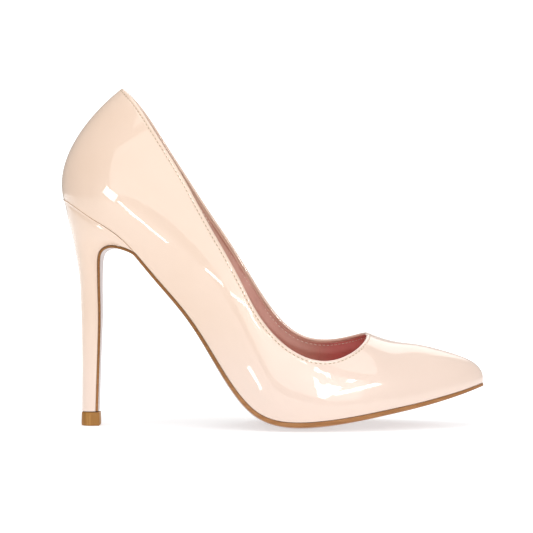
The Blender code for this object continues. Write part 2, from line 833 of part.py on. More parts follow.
def make_heel_core():
    """Moulded heel block: its skin, closed across the front, the seat and the foot."""
    levels = [CORE_TOP_LEVEL] + HEEL_ROWS[1:]
    columns = heel_columns()
    faces = grid_faces(columns, levels, lambda column, level: (*column, level))
    front = [(-1, 0.0), (1, 0.0)]
    faces += grid_faces(front[::-1], levels, lambda column, level: (*column, level))
    shares = [step / HEEL_COLUMNS for step in range(HEEL_COLUMNS + 1)]
    for level in (levels[0], levels[-1]):
        for a, b in zip(shares, shares[1:]):
            corners = [(-1, a, level), (-1, b, level), (1, b, level), (1, a, level)]
            corners = [(-1, 1.0, level) if corner[1] == 1.0 else corner for corner in corners]
            faces.append(without_repeats(corners))
    keys, loops = indexed(faces)
    mesh_object("heel_core", [heel_layer(*key, CORE_DEPTH) for key in keys], loops, HEEL_PLASTIC)


def cylinder(name, radius, foot, head, segments=16):
    """A cylinder between two points."""
    work = bmesh.new()
    length = np.linalg.norm(head - foot)
    bmesh.ops.create_cone(
        work, cap_ends=True, segments=segments, radius1=radius * MM, radius2=radius * MM, depth=length * MM
    )
    mesh = bpy.data.meshes.new(name)
    work.to_mesh(mesh)
    work.free()
    thing = bpy.data.objects.new(name, mesh)
    turn = Vector((0, 0, 1)).rotation_difference(Vector(tuple(head - foot)))
    thing.matrix_world = Matrix.Translation(Vector(tuple((head + foot) / 2 * MM))) @ turn.to_matrix().to_4x4()
    return thing


def cut(target, name, radius, foot, head):
    """Drills a hole through the target."""
    cutter = cylinder(name, radius, foot, head)
    cutters.objects.link(cutter)
    cutter.hide_render = True
    cutter.display_type = "WIRE"
    drill = target.modifiers.new(name, "BOOLEAN")
    drill.object = cutter
    drill.operation = "DIFFERENCE"


def turned(name, profile, foot, axis, look, segments=16):
    """A round piece from its profile of radius and height, listed from the top down, on an axis."""
    mesh = bpy.data.meshes.new(name)
    points = [(radius * MM, 0, height * MM) for radius, height in profile]
    mesh.from_pydata(points, [(index, index + 1) for index in range(len(points) - 1)], [])
    thing = bpy.data.objects.new(name, mesh)
    parts.objects.link(thing)
    turn = Vector((0, 0, 1)).rotation_difference(Vector(tuple(axis)))
    thing.matrix_world = Matrix.Translation(Vector(tuple(foot * MM))) @ turn.to_matrix().to_4x4()
    screw = thing.modifiers.new("turn", "SCREW")
    screw.steps = segments
    screw.render_steps = segments
    screw.use_merge_vertices = True
    screw.merge_threshold = 0.00001
    mesh.materials.append(material(*look))
    return thing


def make_fastener(name, s, y, depth, shaft, head, targets):
    """A screw, nail or rivet through the tuck board, with a hole for its shaft in each target."""
    across = y / half_width(s)
    axis = bottom_normal(s)
    base = bottom(s, across, 0)
    head_low = INSOLE_HIGH + GAP
    head_high = head_low + 0.8
    profile = [(0, head_high), (head, head_high), (head, head_low)]
    profile += [(shaft, head_low), (shaft, -depth), (0, -depth)]
    turned(name, profile, base, axis, STEEL)
    for target in targets:
        cut(
            target,
            f"{name}_hole_{target.name}",
            shaft + FASTENER_CLEARANCE,
            base - axis * (depth + FASTENER_CLEARANCE),
            base + axis * (head_high + 1),
        )


def make_fasteners():
    """Two rivets hold the shank to the tuck board. A screw and four nails hold the heel."""
    board = bpy.data.objects["tuck_board"]
    shank = bpy.data.objects["steel_shank"]
    core = bpy.data.objects["heel_core"]
    rivet_depth = -(MARGIN_LOW + 0.15)
    make_fastener("shank_rivet_front", 9.6, 0, rivet_depth, 1.5, 2.6, (board, shank))
    make_fastener("shank_rivet_rear", 12.2, 0, rivet_depth, 1.5, 2.6, (board, shank))
    make_fastener("heel_screw", 13.6, 0, 15, 1.9, 3.4, (board, shank, core))
    for index, (s, y, depth) in enumerate(NAILS):
        make_fastener(f"heel_nail_{index + 1}", s, y, depth, 0.8, 1.7, (board, core))


def lift_outline(grow):
    """The D of the top lift: a flat front and a round back, grown outward."""
    opening = math.acos(LIFT_FRONT_WIDTH / LIFT_WIDTH)
    steps = 12
    outline = []
    for step in range(steps + 1):
        angle = -opening + (math.pi + 2 * opening) * step / steps
        depth = (math.sin(angle) + math.sin(opening)) / (1 + math.sin(opening))
        x = LIFT_FRONT + grow + (LIFT_BACK - LIFT_FRONT - 2 * grow) * depth
        outline.append((x, -(LIFT_WIDTH + grow) * math.cos(angle)))
    return outline


def make_top_lift():
    """Wear piece under the heel, on a pin that is pressed into the heel's tube."""
    levels = ((0.0, 0.0), (0.35, 0.25), (2.0, 0.25), (LIFT_TOP, 0.0))
    points = []
    for z, grow in levels:
        points += [vec(x, y, z) for x, y in lift_outline(grow)]
    count = len(points) // len(levels)
    faces = [list(range(count)), list(range(count * (len(levels) - 1), count * len(levels)))]
    for ring in range(len(levels) - 1):
        for index in range(count):
            after = (index + 1) % count
            low, high = ring * count, (ring + 1) * count
            faces.append([low + index, low + after, high + after, high + index])
    lift = mesh_object("heel_top_lift", points, faces, LIFT)
    middle = vec(TUBE_X, 0, 0)
    up = vec(0, 0, 1)
    cut(lift, "lift_bore", PIN_RADIUS + GAP, middle + up * (PIN_FOOT - GAP), middle + up * (LIFT_TOP + 2))
    pin = [(0, PIN_TOP), (PIN_RADIUS, PIN_TOP), (PIN_RADIUS, PIN_FOOT), (0, PIN_FOOT)]
    turned("top_lift_pin", pin, middle, up, STEEL, 12)


def make_heel_tube():
    """Steel tube that stiffens the slim part of the heel, in a bore that opens at the heel's foot."""
    foot = HEEL_LEVELS[-1][1] + 0.2
    middle = vec(TUBE_X, 0, 0)
    up = vec(0, 0, 1)
    wall_profile = [(TUBE_BORE, TUBE_TOP), (TUBE_RADIUS, TUBE_TOP), (TUBE_RADIUS, foot), (TUBE_BORE, foot)]
    wall_profile.append(wall_profile[0])
    turned("heel_tube", wall_profile, middle, up, STEEL)
    core = bpy.data.objects["heel_core"]
    cut(core, "core_bore", TUBE_RADIUS + GAP, middle, middle + up * (TUBE_TOP + GAP))


def clear_scene():
    for thing in list(bpy.data.objects):
        bpy.data.objects.remove(thing)


clear_scene()
parts = bpy.data.collections.new("high_heel_pump")
cutters = bpy.data.collections.new("cutters")
bpy.context.scene.collection.children.link(parts)
bpy.context.scene.collection.children.link(cutters)

make_upper()
make_wall_layers()
wall_tree = make_wall_tree()
make_topline_tape(wall_tree)
make_topline_stitching(wall_tree)
make_bottom_layers()
make_outsole()
make_heel_cover()
make_heel_core()
make_heel_tube()
make_top_lift()
make_fasteners()
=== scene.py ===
"""High heel pump: the looks of the shoe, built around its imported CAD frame.

The surfaces follow the same curves as the CAD solids, on a finer grid. Lengths are in millimetres until a
mesh is made. The toe points to +X and the lateral side faces -Y and the camera.
"""

import functools
import json
import math

import bmesh
import bpy
import numpy as np
from mathutils import Matrix, Vector
from mathutils.bvhtree import BVHTree


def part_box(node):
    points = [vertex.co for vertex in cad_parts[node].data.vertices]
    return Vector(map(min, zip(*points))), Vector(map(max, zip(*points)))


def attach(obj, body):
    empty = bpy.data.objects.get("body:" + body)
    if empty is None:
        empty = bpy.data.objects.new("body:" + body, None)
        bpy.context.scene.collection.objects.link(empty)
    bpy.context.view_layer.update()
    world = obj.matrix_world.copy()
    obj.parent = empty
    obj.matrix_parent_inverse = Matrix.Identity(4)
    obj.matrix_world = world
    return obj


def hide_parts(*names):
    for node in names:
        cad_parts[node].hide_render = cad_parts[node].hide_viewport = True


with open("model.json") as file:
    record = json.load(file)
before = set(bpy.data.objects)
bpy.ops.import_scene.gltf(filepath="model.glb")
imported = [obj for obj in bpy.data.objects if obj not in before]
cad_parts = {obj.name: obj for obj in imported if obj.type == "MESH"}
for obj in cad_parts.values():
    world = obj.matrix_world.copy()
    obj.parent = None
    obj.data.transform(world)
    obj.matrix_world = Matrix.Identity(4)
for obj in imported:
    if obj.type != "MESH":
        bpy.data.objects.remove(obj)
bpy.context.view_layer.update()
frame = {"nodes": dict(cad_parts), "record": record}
MM = 0.001

# ---- The shoe's driving curves, as in the CAD model ----

# Stations run from the toe tip (0) to the back of the heel (16), and on along the medial side to 32
HEEL = 16
AROUND = 2 * HEEL
THROAT = 5
BALL = 8
# Feather edge, where the upper meets the sole: x, z, lateral and medial half width
FEATHER = (
    (102.5, 20.7, 0.0, 0.0),
    (99.7, 20.0, 5.2, 5.0),
    (92.1, 17.9, 11.6, 10.4),
    (81.1, 15.2, 18.0, 16.0),
    (68.1, 12.4, 24.4, 22.4),
    (54.1, 9.9, 30.2, 28.8),
    (39.1, 7.2, 34.0, 34.0),
    (23.1, 5.0, 35.8, 36.0),
    (7.1, 4.5, 35.2, 33.8),
    (-7.8, 9.3, 31.9, 27.6),
    (-21.9, 25.8, 26.8, 21.0),
    (-37.9, 51.0, 23.6, 18.2),
    (-54.9, 71.5, 23.2, 19.2),
    (-70.9, 89.6, 24.2, 22.0),
    (-84.9, 99.3, 22.3, 21.2),
    (-95.9, 106.6, 15.5, 15.0),
    (-101.9, 109.9, 0.0, 0.0),
)
# Crest of the vamp from the toe to the throat, and on up the open instep: x, z
RIDGE = (
    (95.1, 32.2), (88.6, 34.7), (79.1, 37.5), (69.1, 39.6), (57.6, 41.3), (46.2, 45.2),
    (38.0, 48.5), (29.0, 54.0), (19.0, 63.0), (9.5, 74.5), (1.5, 87.0),
)
# Topline from the station after the throat to the one before the back: lateral x, y, z, medial x, y, z
TOPLINE = (
    (42.6, -15.5, 40.0, 43.2, 15.0, 44.6),
    (27.1, -30.0, 33.0, 28.1, 28.5, 40.9),
    (8.1, -31.5, 38.6, 10.1, 29.0, 45.6),
    (-5.9, -30.0, 53.5, -3.4, 27.8, 60.8),
    (-14.4, -29.3, 69.0, -11.4, 26.5, 73.5),
    (-23.4, -28.3, 85.3, -21.2, 25.5, 89.2),
    (-32.4, -27.0, 101.0, -30.9, 24.5, 103.6),
    (-43.4, -25.0, 121.0, -41.9, 23.5, 120.6),
    (-55.9, -21.5, 141.0, -53.9, 20.5, 139.3),
    (-66.4, -13.5, 156.6, -65.4, 13.0, 156.4),
)
BACK_TOP = (-73.1, 0.0, 164.1)
# At each station, in degrees: flare of the wall at its foot, its lean at the top, how far the lean is turned,
# and the angle at which the vamp crosses its crest, up to the throat
FLARE = (24, 22, 20, 18, 16, 14, 13, 12, 14, 18, 24, 30, 28, 22, 26, 35, 40)
LEAN = (90, 90, 90, 90, 90, 90, 62, 38, 22, 16, 14, 14, 14, 14, 15, 19, 25)
TURN = (0, 0, 0, 0, 0, 0, 0, 0, 0, 0, 0, 0, 0, 5, 18, 45, 90)
CROSSING = (0, 48, 70, 82, 88, 90, 90, 90, 90, 90, 90)
# How far the handles at a section's foot and top reach, as shares of its length
FOOT_REACH, FOOT_REACH_BEHIND_BALL, TOP_REACH = 0.42, 0.33, 0.33
# Stations between which the vamp's sections blend into the quarters'
QUARTER_START, QUARTER_END = 6, 9
# How far the middle of the sole lies below its edges, and how thick the outsole is, at each station
CROWN = (0.2, 0.4, 0.7, 1.1, 1.5, 1.9, 2.3, 2.8, 2.7, 2.1, 1.6, 1.0, 0.4, 0.0, 0.0, 0.0, 0.0)
SOLE_THICKNESS = (1.3, 1.4, 1.6, 1.9, 2.1, 2.3, 2.4, 2.4, 2.3, 2.0, 1.7, 1.5, 1.4, 1.3, 1.3, 1.3, 1.3)
# Where the sole's path leaves the feather edge, and the place on that path of the first heel level
SEAT_START = 12.62
SEAT_LEVEL = 13
# The heel's front edge (x, z, half width) and its back (x, z, widest half width), from the seat down
HEEL_LEVELS = (
    (-71.8, 86.4, 21.0, -100.9, 107.6, 22.8),
    (-77.8, 87.2, 16.9, -99.9, 102.6, 19.6),
    (-82.1, 85.5, 12.6, -98.6, 97.2, 15.8),
    (-84.0, 82.0, 10.2, -97.1, 91.0, 12.8),
    (-84.4, 76.0, 8.5, -95.5, 82.5, 10.2),
    (-84.4, 65.0, 7.0, -93.8, 71.0, 8.0),
    (-84.3, 50.0, 5.8, -93.0, 52.5, 6.4),
    (-85.0, 28.0, 4.9, -92.65, 28.6, 5.4),
    (-85.7, 6.9, 4.45, -92.7, 6.9, 4.9),
)
LAST_LEVEL = len(HEEL_LEVELS)
# Widest half widths of the heel at the seat, and the height of the wall's foot over the feather edge
SEAT_LATERAL, SEAT_MEDIAL = 24.6, 23.0
FOOT_HEIGHT = 0.4

# ---- Layers of the visual model ----
UPPER_THICKNESS = 1.2
FOLD_RADIUS = 0.85
STITCH_INSET = 1.5
STITCH_PITCH = 2.1
BOBBIN_INSET = 2.7
# Distances below the topline of the rows that shape the folded edge, before the rows spread out evenly
EDGE_ROWS = (0.6, 0.85, 1.1, 1.3, 1.5, 1.7, 1.9, 2.2, 2.7, 3.4, 4.3, 5.4)
WALL_ROWS = 34
WALL_COLUMNS = 384
CAMERA_PLACE = (-2.9, -812.0, 77.2)


def unit(vectors):
    """The vectors scaled to a length of 1."""
    return vectors / np.linalg.norm(vectors, axis=-1, keepdims=True)


def smoothstep(share):
    """A smooth rise from 0 to 1 that starts and ends flat."""
    share = np.clip(share, 0, 1)
    return share**3 * (10 - 15 * share + 6 * share * share)


@functools.lru_cache(None)
def spline_controls(points, closed):
    """The controls of the cubic B-spline that passes each of the points at a whole number."""
    count = len(points)
    weights = np.zeros((count, count))
    for row in range(count):
        if closed or 0 < row < count - 1:
            weights[row, row] = 4 / 6
            weights[row, (row - 1) % count] += 1 / 6
            weights[row, (row + 1) % count] += 1 / 6
        else:
            weights[row, row] = 1
    controls = np.linalg.solve(weights, np.array(points, dtype=float))
    if closed:
        return np.roll(controls, 1, axis=0)
    return np.concatenate([[2 * controls[0] - controls[1]], controls, [2 * controls[-1] - controls[-2]]])


def smooth(points, places, closed=False):
    """Points at some places along the smooth curve that passes each of the points at a whole number."""
    controls = spline_controls(points, closed)
    places = np.asarray(places, dtype=float)
    start = np.floor(places).astype(int)
    if not closed:
        start = np.clip(start, 0, len(points) - 2)
    t = (places - start)[..., None]
    weights = ((1 - t) ** 3, 3 * t**3 - 6 * t**2 + 4, 3 * t + 3 * t**2 - 3 * t**3 + 1, t**3)
    return sum(weight * controls[(start + step) % len(controls)] for step, weight in enumerate(weights)) / 6


def keyed(values, places):
    """A value given at each station, read between them."""
    return smooth(tuple((value,) for value in values), places)


def station_of(u):
    """The station, from 0 at the toe to 16 at the back, of a place round the feather edge."""
    return np.minimum(u % AROUND, AROUND - u % AROUND)


def side_of(u):
    """-1 on the lateral side and 1 on the medial side."""
    return np.where(u % AROUND <= HEEL, -1.0, 1.0)[..., None]


CENTRE_LINE = tuple((x, z) for x, z, lateral, medial in FEATHER)
FEATHER_LOOP = (
    *((x, -lateral, z) for x, z, lateral, medial in FEATHER),
    *((x, medial, z) for x, z, lateral, medial in FEATHER[-2:0:-1]),
)
TOPLINE_LOOP = (
    (RIDGE[THROAT][0], 0.0, RIDGE[THROAT][1]),
    *(row[:3] for row in TOPLINE),
    BACK_TOP,
    *(row[3:] for row in reversed(TOPLINE)),
)


def feather(u):
    """Points of the feather edge."""
    return smooth(FEATHER_LOOP, u, closed=True)


def upright(run, rise):
    """The direction square to a run and a rise, in the plane of the side view."""
    return unit(np.stack([-rise, np.zeros_like(run), run], axis=-1))


def bottom_normal(s):
    """The direction straight up from the insole at a station."""
    step = 0.05
    slope = smooth(CENTRE_LINE, np.maximum(s - step, 0)) - smooth(CENTRE_LINE, np.minimum(s + step, HEEL))
    return upright(slope[..., 0], slope[..., 1])


def bottom(s, across, height):
    """Points of the bottom at stations: across goes from -1, the lateral edge, to 1, the medial one."""
    lateral, medial = feather(s), feather(AROUND - s)
    across = np.asarray(across, dtype=float)[..., None]
    sag = np.maximum(keyed(CROWN, s), 0) * (1 - across * across)
    return lateral + (medial - lateral) * (across + 1) / 2 + bottom_normal(s) * (height - sag)


def half_width(s):
    """Half the width of the bottom at stations."""
    return np.linalg.norm(feather(AROUND - s) - feather(s), axis=-1) / 2


def topline(u):
    """Points of the topline, the edge of the opening behind the throat."""
    return smooth(TOPLINE_LOOP, u % AROUND - THROAT, closed=True)


def ridge(s):
    """Points of the vamp's crest, on the middle plane."""
    line = smooth(RIDGE, s)
    return np.stack([line[..., 0], np.zeros_like(line[..., 0]), line[..., 1]], axis=-1)


def ridge_direction(s):
    """The direction that the crest runs in, away from the toe."""
    step = 0.02
    return unit(ridge(s + step) - ridge(np.maximum(s - step, 0)))


def outward(u):
    """Sideways out of the shoe at the feather edge."""
    step = 0.02
    return unit(np.cross(bottom_normal(station_of(u)), feather(u + step) - feather(u - step)))


def bezier(handles, t):
    """Points at t along cubic curves with four handles."""
    t = np.asarray(t, dtype=float)[..., None]
    a, b, c, d = handles
    rest = 1 - t
    return a * rest**3 + b * 3 * rest * rest * t + c * 3 * rest * t * t + d * t**3


def foot_of_wall(u):
    """Where the wall starts at the feather edge, the direction it starts in, and its handle's share."""
    s = station_of(u)
    up = bottom_normal(s)
    flare = np.radians(keyed(FLARE, s))
    start = up * np.cos(flare) + outward(u) * np.sin(flare)
    reach = FOOT_REACH + (FOOT_REACH_BEHIND_BALL - FOOT_REACH) * np.minimum(s / BALL, 1)
    return feather(u) + up * FOOT_HEIGHT, start, reach[..., None]


def section(u, top, arrival):
    """A section of the wall at u that rises from the feather edge and arrives at its top in a direction."""
    foot, start, reach = foot_of_wall(u)
    length = np.linalg.norm(top - foot, axis=-1, keepdims=True)
    return foot, foot + start * length * reach, top - arrival * length * TOP_REACH, top


def vamp_handles(u):
    """Sections of the vamp, which arrive at the crest and cross over it at an angle."""
    s = station_of(u)
    crossing = np.radians(keyed(CROSSING, s))
    sideways = np.array([0.0, 1.0, 0.0]) * side_of(u)
    return section(u, ridge(s), ridge_direction(s) * np.cos(crossing) - sideways * np.sin(crossing))


def quarter_handles(u):
    """Sections of the quarters, which arrive at the topline with a lean."""
    s = station_of(u)
    top = topline(u)
    rise = unit((top - foot_of_wall(u)[0]) * np.array([1, 0, 1]))
    lean = np.radians(keyed(LEAN, s))
    turn = np.radians(keyed(TURN, s))
    inward = np.array([1.0, 0, 0]) * np.sin(turn) - np.array([0, 1.0, 0]) * side_of(u) * np.cos(turn)
    inward = unit(inward - rise * np.sum(inward * rise, axis=-1, keepdims=True))
    return section(u, top, rise * np.cos(lean) + inward * np.sin(lean))


def side_view_of_topline(side):
    """The x and z of one side's topline beside the throat, in order of x."""
    samples = 400
    places = np.linspace(THROAT, QUARTER_END + 1, samples)
    points = topline(places if side < 0 else AROUND - places)[::-1]
    return points[:, 0], points[:, 2]


THROAT_SIDE = {side: side_view_of_topline(side) for side in (-1, 1)}


def cut_off(u):
    """How far along the vamp's section at each u the topline cuts it."""
    handles = vamp_handles(u)
    lowest, halvings = 0.2, 22
    low, high = np.full(u.shape, lowest), np.ones(u.shape)
    for _ in range(halvings):
        middle = (low + high) / 2
        point = bezier(handles, middle)
        under = np.zeros(u.shape, dtype=bool)
        for side, (x, z) in THROAT_SIDE.items():
            below = (point[..., 0] > x[-1]) | (point[..., 2] < np.interp(point[..., 0], x, z))
            under |= below & (side_of(u)[..., 0] == side)
        low, high = np.where(under, middle, low), np.where(under, high, middle)
    return np.where(station_of(u) <= THROAT, 1.0, low)


def wall(u, v, reach=cut_off):
    """Points of the upper's outer face, from 0 at the feather edge to 1 at the topline or the crest."""
    u, v = np.broadcast_arrays(np.asarray(u, dtype=float), np.asarray(v, dtype=float))
    share = smoothstep((station_of(u) - QUARTER_START) / (QUARTER_END - QUARTER_START))[..., None]
    vamp = bezier(vamp_handles(u), v * reach(u))
    return vamp * (1 - share) + bezier(quarter_handles(u), v) * share


def past_the_edge(u):
    """Like cut_off, but it evens out the sudden drop beside the throat and so reaches past the topline."""
    s = station_of(u)
    corner = np.where(side_of(u)[..., 0] < 0, *cut_off(np.array([QUARTER_START, AROUND - QUARTER_START])))
    chord = 1 + (s - THROAT) / (QUARTER_START - THROAT) * (corner - 1)
    return np.where(s < THROAT, 1.0, np.where(s < QUARTER_START, chord, cut_off(u)))


# ---- A fine grid of the wall, in columns that run from the opening's edge to the feather edge ----
def edge_stations(shares):
    """The u of places round the opening, given as shares of its length from the throat."""
    samples = 800
    close = np.linspace(0, 1, samples)
    half = THROAT + (HEEL - THROAT) * close**2
    u = np.concatenate([half, (AROUND - half[:-1])[::-1]])
    edge = wall(u, 1.0)
    lengths = np.concatenate([[0], np.cumsum(np.linalg.norm(np.diff(edge, axis=0), axis=1))])
    along = np.concatenate([close, 2 - close[:-1][::-1]])
    found = np.interp(shares % 1 * lengths[-1], lengths, along)
    root = np.where(found <= 1, found, 2 - found)
    s = THROAT + (HEEL - THROAT) * root**2
    return np.where(found <= 1, s, AROUND - s), lengths[-1]


def edge_points(shares):
    """Points of the opening's edge at shares of its length."""
    return wall(edge_stations(shares)[0], 1.0)


EDGE_LENGTH = edge_stations(np.zeros(1))[1]


def feather_station(shares):
    """Where on the feather edge each column of the wall ends. The throat fans out to the toe."""
    toe_fan, fan_end = 0.17, 59.0
    u = edge_stations(shares)[0]
    along = np.minimum(shares % 1, 1 - shares % 1) * EDGE_LENGTH
    share = smoothstep(along / fan_end)
    s = (1 - share) * np.minimum(toe_fan * along, HEEL) + share * station_of(u)
    return np.where(u <= HEEL, s, AROUND - s)


class WallFinder:
    """Finds the point of the wall's exact surface nearest to a given point."""

    def __init__(self):
        """Samples the surface for the search, which then reads the exact surface at the place it finds."""
        per_station, rows = 10, 41
        self.columns = np.arange(AROUND * per_station) / per_station
        self.rows = np.linspace(0, 1, rows)
        u, v = np.meshgrid(self.columns, self.rows, indexing="ij")
        self.points = wall(u, v, past_the_edge)
        faces = ring_faces(*u.shape, True, False)
        self.tree = BVHTree.FromPolygons([tuple(point) for point in self.points.reshape(-1, 3)], faces)

    def nearest(self, points):
        """The surface points nearest to a grid of points."""
        shape = points.shape[:-1]
        found = []
        for point in points.reshape(-1, 3):
            place, _, index, _ = self.tree.find_nearest(Vector(point))
            column, row = divmod(index, len(self.rows) - 1)
            after = (column + 1) % len(self.columns)
            corner = self.points[column, row]
            ahead, below = self.points[after, row], self.points[column, row + 1]
            sides = np.stack([ahead - corner, below - corner], axis=1)
            part = np.clip(np.linalg.lstsq(sides, np.array(place) - corner, rcond=None)[0], 0, 1)
            width = (self.columns[after] - self.columns[column]) % AROUND
            found.append((self.columns[column] + part[0] * width, (row + part[1]) * self.rows[1]))
        u, v = np.array(found).T
        return wall(u, v, past_the_edge).reshape(*shape, 3)


def edge_frame(shares):
    """Points of the opening's edge, the directions down the wall square to it, and the outward normals."""
    u = edge_stations(shares)[0]
    points = edge_points(shares)
    rounded_to, sharp_from, throat_rounds, normal_rounds = 12.0, 30.0, 60, 8
    along = (np.minimum(shares, 1 - shares) * EDGE_LENGTH)[:, None]
    sharp = smoothstep((along - rounded_to) / (sharp_from - rounded_to))
    points = points * sharp + smooth_round(points, throat_rounds) * (1 - sharp)
    along = unit(np.roll(points, -1, axis=0) - np.roll(points, 1, axis=0))
    below_edge, step, wide_step = 0.93, 0.02, 0.04
    quarter_normal = unit(np.cross(points - wall(u, below_edge), along))
    t = np.minimum(cut_off(u), 1 - step)
    across = bezier(vamp_handles(u), t + step) - bezier(vamp_handles(u), t - step)
    lengthwise = bezier(vamp_handles(u + wide_step), t) - bezier(vamp_handles(u - wide_step), t)
    vamp_normal = unit(np.cross(across, lengthwise))
    crest = unit(np.cross(np.array([0.0, 1.0, 0.0]), ridge_direction(station_of(u))))
    at_crest = 0.985
    vamp_normal = np.where((cut_off(u) > at_crest)[..., None], crest, vamp_normal)
    normal = np.where((station_of(u) < QUARTER_START)[..., None], vamp_normal, quarter_normal)
    normal = unit(smooth_round(normal, normal_rounds))
    return points, unit(np.cross(normal, along)), normal


def smooth_round(values, times):
    """Evens out values round a closed loop of columns."""
    for _ in range(times):
        values = (np.roll(values, 1, axis=0) + 2 * values + np.roll(values, -1, axis=0)) / 4
    return values


def make_wall_grid():
    """Points and normals of the outer face: columns round the opening, rows from its edge to the feather."""
    crowding, down_rounds = 0.62, 4
    even = np.arange(WALL_COLUMNS) / WALL_COLUMNS
    shares = even - crowding * np.sin(2 * math.pi * even) / (2 * math.pi)
    finder = WallFinder()
    edge, down, normal = edge_frame(shares)
    down = unit(smooth_round(down, down_rounds))
    rim = finder.nearest(edge[:, None] + down[:, None] * np.array(EDGE_ROWS)[:, None])
    start = rim[:, -1]
    ends = feather_station(shares)
    just_above = 0.03
    foot = wall(ends, 0.0)
    rise = unit(wall(ends, just_above) - foot)
    length = np.linalg.norm(start - foot, axis=-1, keepdims=True)
    along = (np.minimum(shares, 1 - shares) * EDGE_LENGTH)[:, None]
    throat_reach, quarter_reach, foot_reach, fan_end = 0.34, 0.08, 0.3, 59.0
    reach = throat_reach + (quarter_reach - throat_reach) * smoothstep(along / fan_end)
    after_rim = start + unit(start - rim[:, -2]) * length * reach
    handles = (start, after_rim, foot + rise * length * foot_reach, foot)
    steps = np.arange(1, WALL_ROWS + 1) / WALL_ROWS
    lower = np.stack([bezier(handles, np.full(len(shares), step)) for step in steps[:-1]], axis=1)
    lower = np.concatenate([finder.nearest(lower), foot[:, None]], axis=1)
    points = np.concatenate([rim, lower], axis=1)
    return shares, edge, down, normal, points


def grid_normals(points, closed=True):
    """Outward normals of a grid of columns and rows."""
    if closed:
        across = np.roll(points, -1, axis=0) - np.roll(points, 1, axis=0)
    else:
        across = np.gradient(points, axis=0)
    down = np.gradient(points, axis=1)
    return unit(np.cross(across, down))


# ---- Mesh helpers ----
def add_object(name, data):
    """A new object in the scene."""
    thing = bpy.data.objects.new(name, data)
    bpy.context.scene.collection.objects.link(thing)
    return thing


def add_mesh(name, points, faces, materials, level=1, face_material=None):
    """A smooth mesh object from points in millimetres, with its faces turned outward."""
    mesh = bpy.data.meshes.new(name)
    mesh.from_pydata([tuple(point) for point in np.asarray(points) * MM], [], [list(face) for face in faces])
    work = bmesh.new()
    work.from_mesh(mesh)
    bmesh.ops.recalc_face_normals(work, faces=work.faces)
    if work.calc_volume(signed=True) < 0:
        bmesh.ops.reverse_faces(work, faces=work.faces)
    work.to_mesh(mesh)
    work.free()
    for one in materials:
        mesh.materials.append(one)
    if face_material is not None:
        mesh.polygons.foreach_set("material_index", face_material)
    mesh.shade_smooth()
    thing = add_object(name, mesh)
    if level:
        subdivide = thing.modifiers.new("subdivide", "SUBSURF")
        subdivide.levels = level
        subdivide.render_levels = level
    return thing


def ring_faces(columns, rows, closed_columns, closed_rows):
    """Quads of a grid stored column by column."""
    faces = []
    for column in range(columns if closed_columns else columns - 1):
        here, after = column * rows, (column + 1) % columns * rows
        for row in range(rows if closed_rows else rows - 1):
            low = (row + 1) % rows
            faces.append((here + row, here + low, after + low, after + row))
    return faces


def tube_faces(steps, sides):
    """Faces of a tube of rings, with both its ends closed."""
    ends = [tuple(reversed(range(sides))), tuple(range((steps - 1) * sides, steps * sides))]
    return ring_faces(steps, sides, False, True) + ends


def sheet_mesh(name, outer, inner, materials, closed=False, level=1, face_material=None):
    """A closed sheet between two grids of points with the same columns and rows."""
    columns, rows = outer.shape[:2]
    section_points = np.concatenate([outer, inner[:, ::-1]], axis=1)
    ring = 2 * rows
    faces = ring_faces(columns, ring, closed, True)
    if not closed:
        for column in (0, columns - 1):
            base = column * ring
            faces += [(base + row, base + row + 1, base + ring - 2 - row, base + ring - 1 - row)
                      for row in range(rows - 1)]
    return add_mesh(name, section_points.reshape(-1, 3), faces, materials, level, face_material)


def settle(thing, slot, *nodes):
    """Fixes a piece to the shoe and hides the CAD nodes that it stands for. The slot argument is not used."""
    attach(thing, "root")
    if nodes:
        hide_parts(*nodes)
    return thing


